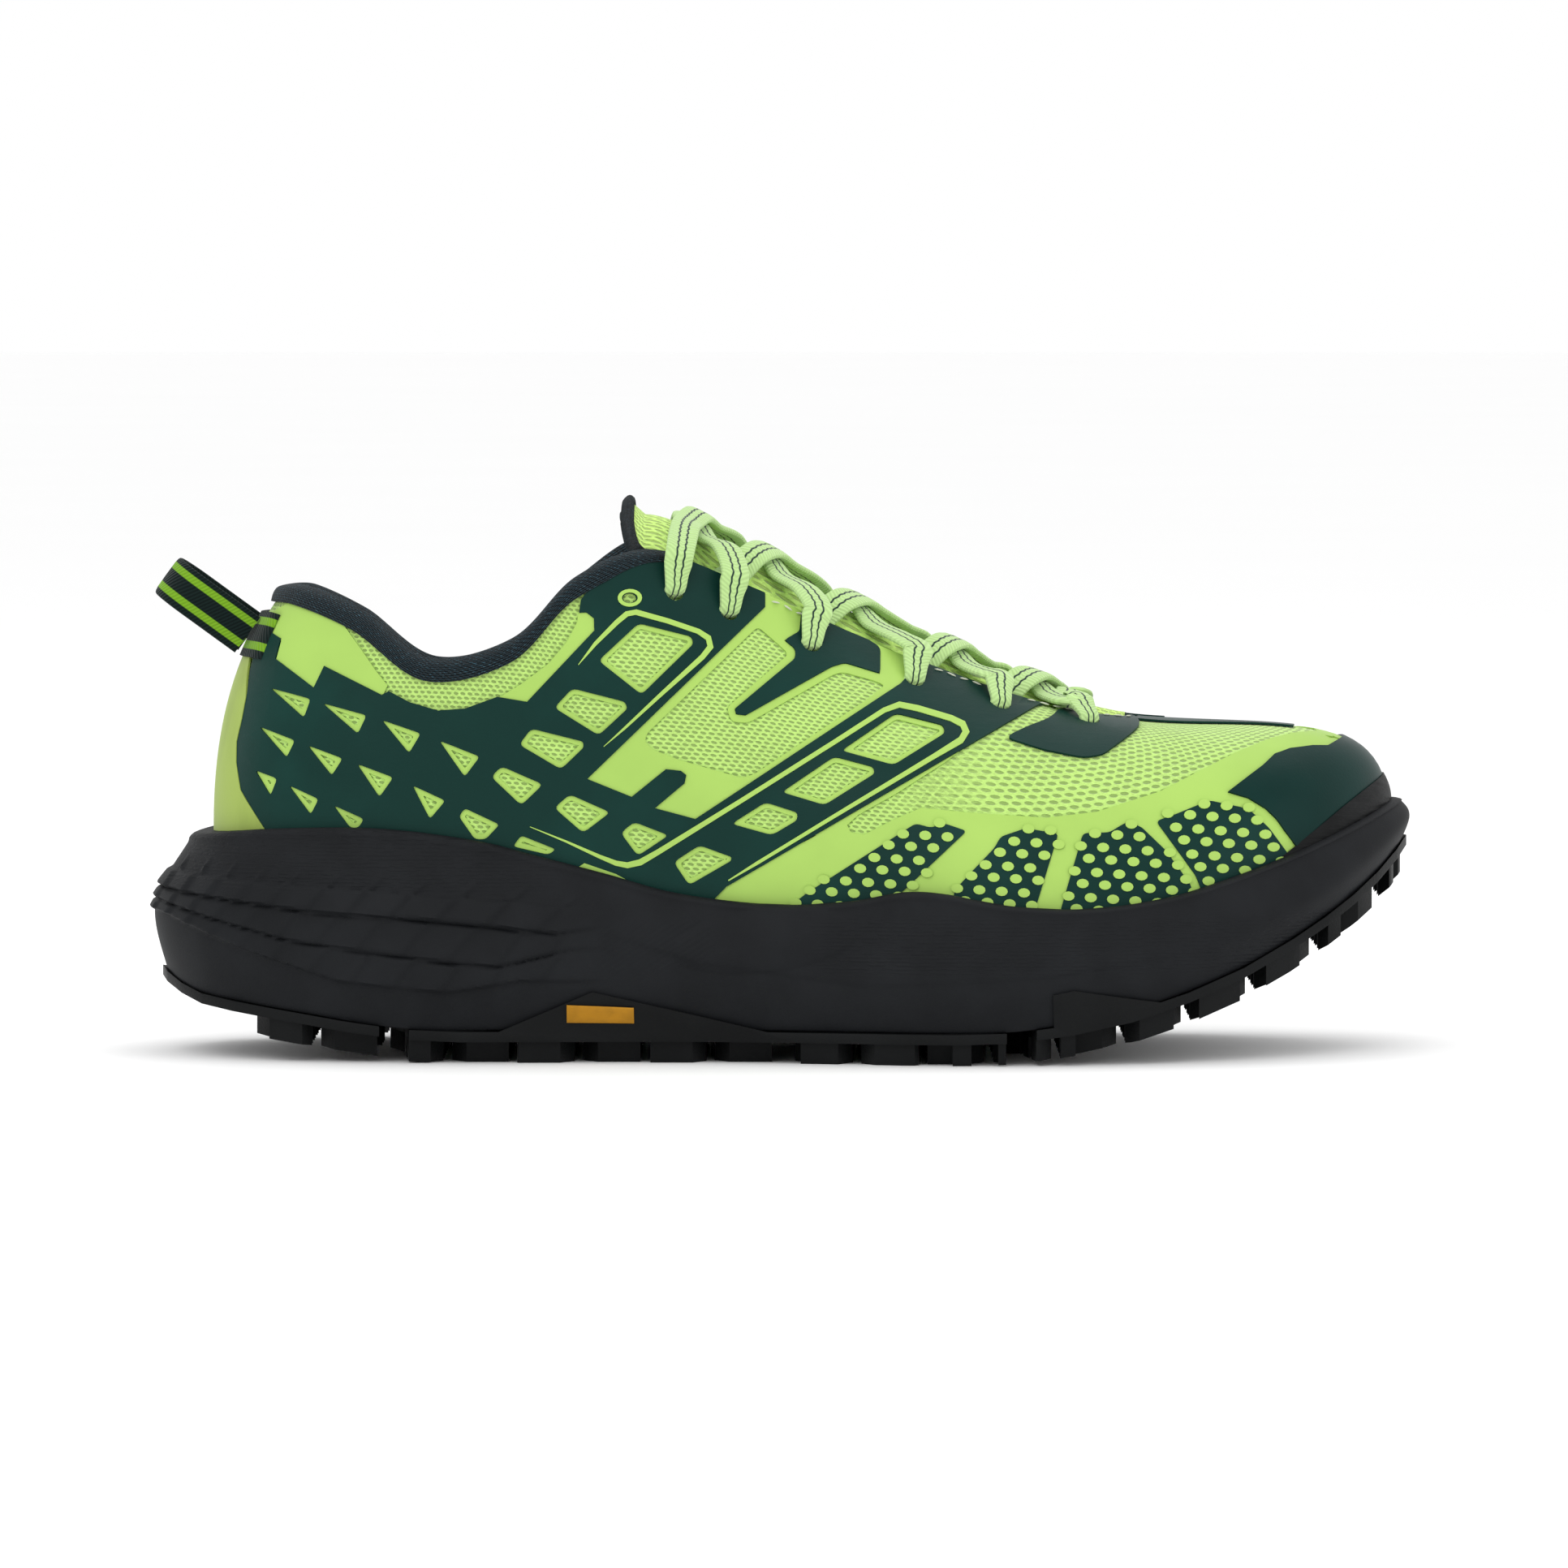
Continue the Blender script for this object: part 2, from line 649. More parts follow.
@cached
def open_mesh(name):
    r = Recipe(name, 0.85, Sheen_Weight=0.25)
    lime = tone(colours().mesh)
    u, v, _ = r.uv()
    fine = r.cells(u, v, 0.0021, 0.00108, 0.34, 0.3, 0.25)
    large = r.cells(u, v, 0.0031, 0.0018, 0.36, 0.3, 0.25)
    openness = r.attribute("openness")
    holes = r.plus(r.times(fine, r.minus(1.0, openness)), r.times(large, openness))
    yarn = r.noise(1400, 2, (1, 1, 2.2))
    patchy = r.ramp(r.noise(60, 3), 0.35, 0.7)
    body = r.mix(patchy, lime, shade(lime, 0.88))
    threads = r.mix(r.ramp(yarn, 0.35, 0.65), body, shade(lime, 1.12))
    r.colour(r.mix(r.times(holes, 0.75), threads, shade(lime, 0.38)))
    height = r.minus(r.times(yarn, 0.35), holes)
    return r.bump(height, 0.75, 0.0004)


@cached
def lime_film(name):
    return speckled(name, 0.5, tone(colours().film), 0.93, (45, 3), (900, 2, 0.12, 0.0001), (0.3, 0.75))



@cached
def dark_film(name):
    r = Recipe(name, 0.42, gloss=0.1)
    dark = tone(colours().overlay)
    worn = r.ramp(r.noise(38, 4), 0.4, 0.8)
    r.colour(r.mix(worn, dark, shade(dark, 1.35)))
    creases = r.noise(260, 3, (1, 1, 4))
    grain = r.noise(2200, 2)
    return r.bump(r.plus(r.times(creases, 0.6), r.times(grain, 0.3)), 0.28, 0.0003)


@cached
def toe_film(name):
    base = tone(colours().toe)
    return speckled(name, 0.38, base, 1.3, (30, 3), (1500, 3, 0.15, 0.0002), (0.35, 0.75), gloss=0.1)



@cached
def heel_film(name):
    base = tone(colours().heel_strip)
    return speckled(name, 0.5, base, 0.82, (90, 4, (1, 1, 0.3)), (1200, 2, 0.15, 0.0002), (0.45, 0.75))



@cached
def collar_knit(name):
    r = Recipe(name, 0.85, gloss=0.05, Sheen_Weight=0.12)
    dark = tone(colours().knit)
    u, v, _ = r.uv()
    loops = r.cells(u, v, 0.0022, 0.0012, 0.44, 0.3, 0.9)
    fibre = r.noise(1500, 3, (1, 1, 1.8))
    lit = r.mix(loops, shade(dark, 0.5), shade(dark, 2.2))
    fleck = r.times(r.ramp(fibre, 0.5, 0.68), loops)
    r.colour(r.mix(fleck, lit, shade(dark, 9.0)))
    return r.bump(r.plus(loops, r.times(fibre, 0.7)), 1.0, 0.0006)


@cached
def tongue_mesh(name):
    r = Recipe(name, 0.85, Sheen_Weight=0.25)
    lime = tone(colours().tongue)
    u, v, _ = r.uv()
    loops = r.cells(u, v, 0.0046, 0.0026, 0.4, 0.28, -0.5)
    yarn = r.noise(900, 3, (1, 1, 1.6))
    body = r.mix(r.ramp(yarn, 0.3, 0.7), shade(lime, 0.9), shade(lime, 1.1))
    r.colour(r.mix(r.times(loops, 0.7), body, shade(lime, 0.45)))
    return r.bump(r.minus(r.times(yarn, 0.7), loops), 0.9, 0.0007)


@cached
def lining_fabric(name):
    r = Recipe(name, 0.9, gloss=0.05, Sheen_Weight=0.1)
    dark = tone(colours().knit)
    u, v, _ = r.uv()
    weave = r.cells(u, v, 0.0016, 0.0016, 0.4, 0.4)
    r.colour(r.mix(weave, shade(dark, 0.7), shade(dark, 1.8)))
    return r.bump(weave, 0.5, 0.0003)


@cached
def insole_fabric(name):
    r = Recipe(name, 0.92, Sheen_Weight=0.3)
    dark = tone(colours().insole)
    u, v, _ = r.uv()
    weave = r.cells(u, v, 0.0014, 0.0014, 0.42, 0.42)
    vents = r.cells(u, v, 0.011, 0.0095, 0.13, 0.13)
    cloth = r.mix(weave, shade(dark, 0.8), shade(dark, 1.25))
    r.colour(r.mix(vents, cloth, shade(dark, 0.15)))
    return r.bump(r.minus(r.times(weave, 0.4), vents), 0.6, 0.0004)


@cached
def lace_weave(name):
    r = Recipe(name, 0.75, Sheen_Weight=0.25)
    lime, stripe = tone(colours().lace), tone(colours().lace_stripe)
    u, v, _ = r.uv()
    saw = r.math("PINGPONG", u, 0.0011)
    wobble = r.times(saw, 35.0)
    off = r.math("ABSOLUTE", r.minus(r.plus(v, wobble), 0.52))
    line = r.minus(1.0, r.ramp(r.math("ABSOLUTE", r.minus(off, 0.135)), 0.022, 0.045))
    ribs = r.math("PINGPONG", r.plus(u, r.times(off, 0.0035)), 0.0005)
    rib = r.times(ribs, 2000.0)
    body = r.mix(rib, shade(lime, 0.86), shade(lime, 1.08))
    r.colour(r.mix(line, body, stripe))
    return r.bump(r.minus(rib, r.times(line, 0.6)), 0.55, 0.0003)


@cached
def loop_webbing(name):
    r = Recipe(name, 0.8, gloss=0.05, Sheen_Weight=0.1)
    dark, stripe = tone(colours().loop), tone(colours().loop_stripe)
    u, v, _ = r.uv()
    bands = r.math("ABSOLUTE", r.minus(v, 0.52))
    band = r.minus(1.0, r.ramp(r.math("ABSOLUTE", r.minus(bands, 0.27)), 0.075, 0.095))
    twill = r.times(r.math("PINGPONG", r.plus(u, r.times(v, 0.006)), 0.00045), 2200.0)
    body = r.mix(twill, shade(dark, 0.6), shade(dark, 1.7))
    trim = r.mix(twill, shade(stripe, 0.8), shade(stripe, 1.1))
    r.colour(r.mix(band, body, trim))
    return r.bump(twill, 0.6, 0.0003)


@cached
def midsole_foam(name):
    r = Recipe(name, 0.6, gloss=0.1)
    dark = tone(colours().midsole)
    x, _, z = r.split(r.place())
    mottled = r.ramp(r.noise(70, 4), 0.3, 0.75)
    r.colour(r.mix(mottled, dark, shade(dark, 1.35)))
    heel = r.times(r.ramp(z, 0.039, 0.043), r.minus(1.0, r.ramp(x, -0.07, -0.045)))
    front = r.times(r.ramp(x, 0.0, 0.02), r.minus(1.0, r.ramp(z, 0.033, 0.037)))
    lined = r.math("MAXIMUM", heel, r.times(front, r.ramp(z, 0.02, 0.024)))
    lines = r.times(r.math("PINGPONG", z, 0.00045), 2200.0)
    dashes = r.ramp(r.noise(700, 1, (0.5, 0.5, 2.5)), 0.42, 0.58)
    texture = r.times(r.times(lines, dashes), lined)
    grain = r.times(r.noise(2600, 3), 0.35)
    return r.bump(r.plus(texture, grain), 0.55, 0.0003)


@cached
def outsole_rubber(name):
    base = tone(colours().rubber)
    return speckled(name, 0.5, base, 1.5, (55, 5), (1700, 4, 0.3, 0.0003), (0.35, 0.8), gloss=0.1)



@cached
def bumper_rubber(name):
    r = Recipe(name, 0.5, gloss=0.1)
    dark = tone(colours().rubber)
    r.colour(r.mix(r.ramp(r.noise(80, 5, (1, 1, 2)), 0.3, 0.8), shade(dark, 0.8), shade(dark, 1.5)))
    ridges = r.noise(320, 4, (0.5, 0.5, 3))
    return r.bump(ridges, 0.6, 0.0006)


@cached
def badge_plastic(name):
    return speckled(name, 0.4, tone(colours().badge), 0.8, (300, 3), (2500, 2, 0.15, 0.0001), (0.3, 0.8))



@cached
def board_fabric(name):
    return speckled(name, 0.95, (0.6, 0.57, 0.5, 1), 0.8, (900, 3), (1500, 3, 0.4, 0.0002))



@cached
def foam_padding(name):
    return speckled(name, 0.95, (0.62, 0.6, 0.52, 1), 0.85, (700, 3), (1300, 3, 0.5, 0.0003))



@cached
def aglet_film(name):
    base = (0.03, 0.04, 0.038, 1)
    return speckled(name, 0.25, base, 1.4, (300, 2), (1500, 2, 0.1, 0.0001), Coat_Weight=0.4)



@cached
def stitch_thread(name):
    return speckled(name, 0.7, tone(colours().stitch), 0.75, (2500, 2), (4000, 2, 0.3, 0.0001))



@cached
def studio_floor(name):
    return speckled(name, 0.9, (0.99, 0.99, 0.99, 1), 0.985, (3, 2), (400, 2, 0.02, 0.0001))



# ---------------------------------------------------------------- outlines, in side view
REAR_OVERLAY = [
    (-119, 46), (-123.1, 54.5), (-126.3, 59.6), (-129.2, 64.6), (-130.2, 71.1), (-130.1, 76.1),
    (-128.8, 81.8), (-127.7, 87.6), (-127, 93), (-125.5, 99), (-123.5, 104.5), (-121.8, 102),
    (-119.8, 100.7), (-121.1, 95.9), (-112.1, 89), (-109.6, 94.2), (-95.9, 87.3), (-94.2, 88.2),
    (-89.3, 85.6), (-82.5, 83.6), (-76, 84.1), (-68.4, 86.9), (-61.3, 85.7), (-45.3, 102.7),
    (-45.4, 105.6), (-47.2, 107), (-48.9, 106.9), (-48.5, 110), (-47, 112), (-43, 117), (-36, 124),
    (-20, 124), (-8, 115), (-4.6, 112), (-4.6, 108.1), (-46.9, 67.3), (-36.3, 63), (-28.1, 69.6),
    (-24.5, 69.2), (-23.2, 68.2), (-23.6, 66.2), (-30.7, 60.3), (-21, 57.7), (28, 89.7), (33, 95),
    (45, 97), (60, 92), (64, 86), (60, 84), (-13.5, 41.5), (-20, 35), (-60, 40), (-95, 46),
]
STRIP_OVERLAY = [
    (4.4, 108), (3.7, 102.3), (0.1, 100.2), (2.8, 98), (2.7, 95.8), (-11.7, 83.9), (-11.4, 82.6),
    (-9.1, 82.3), (11.5, 93.8), (14.6, 94.7), (23, 92.1), (23, 98), (14, 106),
]
EYELET_PATCH = [
    (53, 76.8), (58, 79.2), (64, 81.4), (72, 90), (82, 84), (86, 80), (82, 76.6), (78.6, 74.2),
    (76.6, 72.7), (72, 71.9), (62.4, 73.8),
]
TRIANGLES = [
    [(-122.3, 88.9), (-112.8, 86.3), (-114.4, 81.8)], [(-110, 85.3), (-99.5, 82.4), (-101.6, 78)],
    [(-95.9, 81.3), (-86.6, 78.1), (-89.4, 73.4)], [(-82.2, 76.4), (-72.6, 72.6), (-76.2, 67.8)],
    [(-124.9, 79.7), (-116.5, 76.4), (-118.5, 72.3)], [(-113.5, 75.2), (-105.2, 72.1), (-107.8, 68)],
    [(-101.8, 70.8), (-93.2, 67.6), (-96.5, 62.9)], [(-88.6, 65.7), (-80.8, 62.1), (-84.5, 57.7)],
    [(-77.6, 58.3), (-76.2, 60.3), (-67.9, 56.4), (-71.2, 52.9), (-73.8, 52.9)],
    [(-64.7, 51.2), (-62.7, 53.8), (-54.4, 50.5), (-56.2, 49.2)],
    [(-125.9, 69.3), (-120.7, 67.3), (-122.3, 63.2)], [(-118, 65.7), (-110.9, 62.4), (-112.8, 58.7)],
    [(-107.4, 60.9), (-100.2, 57.7), (-101.5, 55.6), (-103.5, 55.6)],
]
WINDOWS = [
    [(-34.7, 104.4), (-22.2, 101.2), (-21.6, 99.5), (-34, 87.4), (-44.3, 95.5)],
    [(-50.5, 88.9), (-38, 85.7), (-37.3, 84.1), (-44.2, 77.7), (-54.8, 84.3)],
    [(-60.3, 79.3), (-47.9, 76.2), (-47.8, 74.8), (-53.2, 69.6), (-63.2, 75.5)],
    [(-67.4, 70.3), (-57.5, 66), (-62.7, 61), (-69.9, 67.8)],
    [(-51.1, 63.6), (-41.4, 59.3), (-47.9, 54.4), (-54.8, 60.4)],
    [(-35.7, 57), (-27.4, 53.8), (-34.8, 48.9), (-38.9, 54.4)],
    [(-20, 51.4), (-12.3, 48.6), (-12.4, 47.7), (-22.5, 41.9), (-26.2, 47.4)],
    [(-4.2, 61.6), (3.5, 59.1), (3.4, 57.3), (-2.6, 53.8), (-12.3, 56.5)],
    [(12.2, 72.4), (21.5, 69.9), (21.9, 68.3), (10, 60.9), (-0.3, 64)],
    [(26.8, 82.6), (38.2, 79.7), (38.6, 77.8), (26.4, 70.3), (13.9, 73.8)],
]
PANEL = [  # the large light panel with two arms
    (-4.6, 114), (-4.6, 108.1), (-46.9, 67.3), (-36.3, 63), (-28.1, 69.6), (-24.5, 69.2), (-23.2, 68.2),
    (-23.6, 66.2), (-30.7, 60.3), (-21, 57.7), (28, 89.7), (33, 95), (30, 101), (23, 104), (23, 92.1),
    (14.6, 94.7), (11.5, 93.8), (-9.1, 82.3), (-11.4, 82.6), (-11.7, 83.9), (2.7, 95.8), (2.8, 98),
    (0.1, 100.2), (3.7, 102.3), (4.4, 110),
]
PANEL_MESH = [
    (-6.2, 103.6), (-32.6, 78.2), (-33.2, 76.3), (-31.5, 74.4), (-24.9, 71.8), (-9.9, 67.5), (-7, 68.3),
    (20.6, 86.4), (24.4, 89.4), (21.6, 90.6), (14.4, 92.6), (12.2, 92.2), (-8.4, 80.6), (-12.4, 80.9),
    (-13.6, 84.2), (0.8, 96.6), (0.6, 97.6), (-1.8, 99.8),
]
BAND_FILM_HEEL = [
    (-121.8, 101.6), (-119.8, 100.2), (-121.1, 95.4), (-112.1, 88.4), (-109.6, 93.6), (-95.9, 86.7),
    (-94.6, 89.6), (-97.6, 93.4), (-101, 98.4), (-105, 104), (-109, 108.6), (-116, 110.5), (-122, 107),
]
BAND_FILM_FRONT = [
    (-68.6, 86.4), (-61.2, 85), (-44.8, 102.6), (-44.9, 105.9), (-46.9, 107.7), (-49.1, 107.4),
    (-49.3, 104.8), (-51.9, 99.9), (-56.2, 94.8), (-62.6, 90),
]
FOREFOOT_FILM = [
    (-22, 33), (-13.5, 41.5), (60, 84.5), (58.5, 86), (51, 80.6), (38.9, 71.2), (27, 63.6), (18, 58.6),
    (15.4, 56.2), (16.2, 54.4), (19.5, 53.9), (26, 57.2), (33, 60.2), (45, 59), (63, 57.8), (75, 59.2),
    (90, 64), (99, 68.6), (108, 73.2), (116, 76.5), (122, 78), (132, 79), (141, 74), (150, 62), (140, 48),
    (122, 41), (90, 31), (30, 33),
]
OUTER_LINE = (
    [(-60.6, 55.9), (-52, 52.4), (-44, 48.8), (-40, 47.2), (-37.3, 46.7), (-34.2, 47.4), (-30, 49.8),
     (-10, 62), (12, 75.6), (24, 83.2), (27.6, 84.5), (32, 83.6), (40, 81.2), (42.8, 79.8), (43.6, 78),
     (42.4, 76), (36, 72.2), (12, 58), (-6, 47.2), (-13, 43)],
    [0.15, 0.5, 0.9, 1.2, 1.4, 1.5, 1.3, 1.1, 1.1, 1.2, 1.4, 1.4, 1.4, 1.6, 1.7, 1.6, 1.2, 0.9, 0.8, 0.3],
)
INNER_LINE = (
    [(-49.1, 94.5), (-45, 99.6), (-40, 104.6), (-37.6, 106.6), (-35.4, 107), (-28, 104.9), (-20.6, 102.3),
     (-18.2, 100.7), (-17.7, 98.6), (-19.6, 96.2), (-30, 86.8), (-38, 79.4), (-43, 75)],
    [0.15, 0.9, 1.2, 1.3, 1.3, 1.2, 1.2, 1.4, 1.5, 1.3, 0.9, 0.6, 0.15],
)
LOW_SLIVER = [(-48.8, 46.4), (-47.6, 47.2), (-40, 44.6), (-36, 42.4), (-44, 43.6)]
DOTTED = [
    [(-2, 34), (5.8, 40), (31.7, 56.4), (35.4, 55.4), (38.6, 56.4), (43.9, 54.6), (28.8, 40.4), (20, 34)],
    [
        (39.5, 33), (41.2, 40.7), (45.6, 45.4), (50.6, 50.6), (52, 53.2), (58, 55.2), (65.8, 53.9),
        (60.6, 37), (58, 31),
    ],
    [
        (64.8, 30), (66.9, 37.7), (71.7, 54), (78, 54.2), (82, 56.6), (85.5, 55.6), (91.4, 50),
        (97.4, 41.8), (98, 34),
    ],
    [
        (101.6, 36), (98.6, 44), (89.2, 56.9), (94, 58.6), (101.8, 61.8), (111.1, 59.9), (116, 55.4),
        (121, 48.6), (122, 40),
    ],
]
TOE_CAP_EDGE = [
    (123.8, 49), (122, 51.6), (119.7, 54.7), (117.6, 57.6), (115.2, 59.9), (111, 62.4), (106.3, 63.8),
    (110, 66.6), (114.6, 70), (117.4, 72.6), (121, 73.9), (126.4, 74.6), (130, 74.6),
]
HEEL_STRIP_EDGE = [
    (-121, 50), (-123.1, 54.5), (-126.3, 59.6), (-129.2, 64.6), (-130.2, 71.1), (-130.1, 76.1),
    (-128.8, 81.8), (-127.9, 86.6),
]


# ---------------------------------------------------------------- lace, laid as it is threaded
LACE_ROWS = (0.36, 0.52, 0.635, 0.765, 0.885, 0.965)
THROAT_STATIONS = 13 - 5.62 - 0.4
TONGUE_OFFSET = -4.9
TONGUE_TUCK = 14
TONGUE_TIP = 5
UNDER_FROM = 0.6
CROWN_AT = (0, 0.2, 0.36, 0.6, 0.8, 0.9, 1)
CROWN = (5.9, 6.5, 7.3, 8.3, 8.5, 8.7, 9.3)


def throat_point(v, s, offset=0.0):
    """The surface that the tongue lies on: v up the throat, s across it from -1 (lateral) to 1 (medial)."""
    v, s = np.broadcast_arrays(np.asarray(v, float), np.asarray(s, float))
    offset = np.broadcast_to(np.asarray(offset, float), v.shape)
    within = np.minimum(v, 1)

    def under(side, depth):
        u = (TOE + side * THROAT_STATIONS * within) / STATIONS
        return skin(u, t_below_top(u, depth), TONGUE_OFFSET + offset)

    tuck = TONGUE_TUCK * np.minimum(within * 1.6, 1)
    deep = np.clip((np.abs(s) - UNDER_FROM) / (1 - UNDER_FROM), 0, 1) * tuck
    flank = under(np.where(s < 0, -1, 1), deep)
    left, right = under(-1, 0 * v), under(1, 0 * v)
    k = np.clip(s / UNDER_FROM, -1, 1)
    bridge = left + (right - left) * ((k + 1) / 2)[:, None]
    bridge[:, 2] += np.interp(within, CROWN_AT, CROWN) * (1 - k**2) ** 1.5
    p = np.where((np.abs(s) > UNDER_FROM)[:, None], flank, bridge)
    return p + np.maximum(v - 1, 0)[:, None] * np.array([-0.75, 0, 0.66])


def lace_stops():
    """The lace's whole route: place, facing direction and width at each stop."""
    thickness = sizes().lace_thickness / MM
    half = thickness / 2
    wide, narrow, tip = sizes().lace_width / MM, 5.2, 1.4
    over, under = 1.15 + half, -(MESH_THICKNESS + 0.9 + half)
    turn, middle = (over - under) / 2, (over + under) / 2
    low, lift = 0.9, 2.0
    high, leaving = low + thickness + CLEARANCE, 6.4
    held = (-1, -0.72, -0.36, 0, 0.36, 0.72, 1)

    def one(value):
        return np.array([value], float)

    def at_hole(v, side, flip, stops):
        u = (TOE + side * THROAT_STATIONS * v) / STATIONS
        normal, rise = (a[0] for a in skin_frame(one(u), t_below_top(one(u), EYELET_SETBACK)))
        return [
            (skin(one(u), t_below_top(one(u), d), offset)[0], (normal * out + rise * back) * flip, width)
            for d, offset, out, back, width in stops
        ]

    onto_eyestay = [
        (0.8, over + lift, 1, 0, wide), (3, over + lift * 0.7, 1, 0, wide),
        (EYELET_SETBACK - turn - 1, over + lift / 4, 1, 0, wide * 0.86),
        (EYELET_SETBACK - 0.6, middle + turn * 0.7, 0.8, -1, narrow), (EYELET_SETBACK, middle, 0, -1, narrow),
    ]
    from_below = [
        (1, under, -1, 0, wide), (EYELET_SETBACK - turn - 1, under, -1, 0, narrow),
        (EYELET_SETBACK - 0.6, middle - turn * 0.7, -0.8, -1, narrow),
    ]
    to_tip = [
        (EYELET_SETBACK + 0.6, middle - turn * 0.7, 0.8, -1, narrow),
        (EYELET_SETBACK + turn + 1, under, 1, 0, narrow), (20, under - 1, 1, 0, wide),
        (28, under - 1, 1, 0, tip), (48, under - 1, 1, 0, tip),
    ]

    def over_tongue(a, b, side, heights, flip, places):
        stops = []
        for s, height in zip(places, heights):
            v = a + (b - a) * (s + 1) / 2

            def spot(dv, ds):
                return throat_point(one(v + dv), one(-side * s * UNDER_FROM + ds))[0]

            normal = np.cross(spot(0, 0.03) - spot(0, -0.03), spot(0.01, 0) - spot(-0.01, 0))
            normal /= np.linalg.norm(normal)
            p = spot(0, 0) + normal * (height + half)
            if height == leaving:
                normal = normal * 0.3 + np.array([0, 0, 0.7])
            stops.append((p, normal * flip, wide))
        return stops

    def half_lace(first):
        stops = []
        last = len(LACE_ROWS) - 1
        for k, v in enumerate(LACE_ROWS[:last]):
            side, flip = (-first, -1) if k % 2 else (first, 1)
            top = high if (k + (first > 0)) % 2 else low
            heights = (leaving, top, top, top) + ((leaving,) if k == last - 1 else (low, 0.9))
            stops += at_hole(v, side, flip, from_below + onto_eyestay[::-1])
            stops += over_tongue(v, LACE_ROWS[k + 1], side, heights, flip, held[1 : 1 + len(heights)])
        side, flip = (-first, 1) if last % 2 else (first, -1)
        return stops + at_hole(LACE_ROWS[last], side, flip, onto_eyestay + to_tip)

    lateral, medial = half_lace(-1), half_lace(1)
    bar = over_tongue(LACE_ROWS[0], LACE_ROWS[0], -1, (0.9, low, low, low, low, low, 0.9), -1, held)
    return lateral[::-1] + bar + medial


def smooth_route(stops, per_span):
    """A smooth route through stops, with facing directions and widths read along it."""
    p = np.array([stop[0] for stop in stops])
    face = np.array([stop[1] for stop in stops])
    width = np.array([stop[2] for stop in stops], float)
    n = len(p)
    s = np.linspace(0, n - 1, (n - 1) * per_span + 1)
    i = np.clip(np.floor(s).astype(int), 0, n - 2)
    w = (s - i)[:, None]
    p0, p1, p2, p3 = (p[np.clip(i + k, 0, n - 1)] for k in (-1, 0, 1, 2))

    def gap(a, b):
        return np.sqrt(np.maximum(np.linalg.norm(b - a, axis=1), 1e-3))[:, None]

    d0, d1, d2 = gap(p0, p1), gap(p1, p2), gap(p2, p3)
    d0, d2 = np.where(d0 < 0.04, d1, d0), np.where(d2 < 0.04, d1, d2)
    m1, m2 = slopes(p0, p1, p2, p3, d0, d1, d2)
    m1, m2 = np.where((i == 0)[:, None], p2 - p1, m1), np.where((i == n - 2)[:, None], p2 - p1, m2)
    route = hermite(p1, p2, m1, m2, w)
    unit = face / np.linalg.norm(face, axis=1)[:, None]
    facing = unit[i] * (1 - w) + unit[i + 1] * w
    return route, facing, width[i] * (1 - w[:, 0]) + width[i + 1] * w[:, 0]


def swept_band(route, facing, widths, thickness, around=14, squareness=0.55):
    """A flat band with rounded edges along a route; its UV is metres along it and 0 to 1 across it."""
    tangent = unit(np.gradient(route, axis=0))
    face = unit(facing - tangent * np.sum(facing * tangent, 1)[:, None])
    across = np.cross(tangent, face)
    length = np.concatenate(([0], np.cumsum(np.linalg.norm(np.diff(route, axis=0), axis=1)))) * MM
    last = len(route) - 1

    def soft(value, power):
        return np.sign(value) * np.abs(value) ** power

    def parts(a, b):
        k = np.round(a * last).astype(int)
        x = soft(np.cos(2 * math.pi * b), squareness) / 2
        y = soft(np.sin(2 * math.pi * b), 0.8) / 2
        return k, x, y

    def place(a, b):
        k, x, y = parts(a, b)
        return route[k] + across[k] * (x * widths[k])[:, None] + face[k] * (y * thickness)[:, None]

    def away(a, b):
        k, x, y = parts(a, b)
        return across[k] * x[:, None] + face[k] * y[:, None]

    def uv(a, b):
        k, x, _ = parts(a, b)
        return np.column_stack((length[k], x + 0.5))

    bm = laid_grid(last, around, place, away, uv)
    bmesh.ops.remove_doubles(bm, verts=bm.verts[:], dist=0.002)
    rims = [e for e in bm.edges if e.is_boundary]
    bmesh.ops.holes_fill(bm, edges=rims, sides=0)
    return bm


# ---------------------------------------------------------------- settings
def size(name, description, default):
    return FloatProperty(
        name=name, description=description, default=default, min=0.0, unit="LENGTH", precision=5,
    )


def colour(name, description, default):
    return FloatVectorProperty(
        name=name, description=description, default=default, size=3, min=0, max=1, subtype="COLOR",
    )


class ShoeSizes(bpy.types.PropertyGroup):
    """Sizes of the finished pieces."""

    film_lift: size("Film lift", "Height of the dark film's face over the mesh", 0.00078)
    lace_width: size("Lace width", "Width of the flat lace", 0.0071)
    lace_thickness: size("Lace thickness", "Thickness of the flat lace", 0.0019)
    loop_width: size("Heel loop width", "Width of the heel loop's webbing", 0.0104)
    dot_width: size("Dot width", "Width of a printed dot on the forefoot panels", 0.0029)
    stitch_length: size("Stitch length", "Length of one stitch along the eyestay", 0.0024)
    facet_depth: size("Facet depth", "How far the heel's sidewall facets stand out", 0.0017)


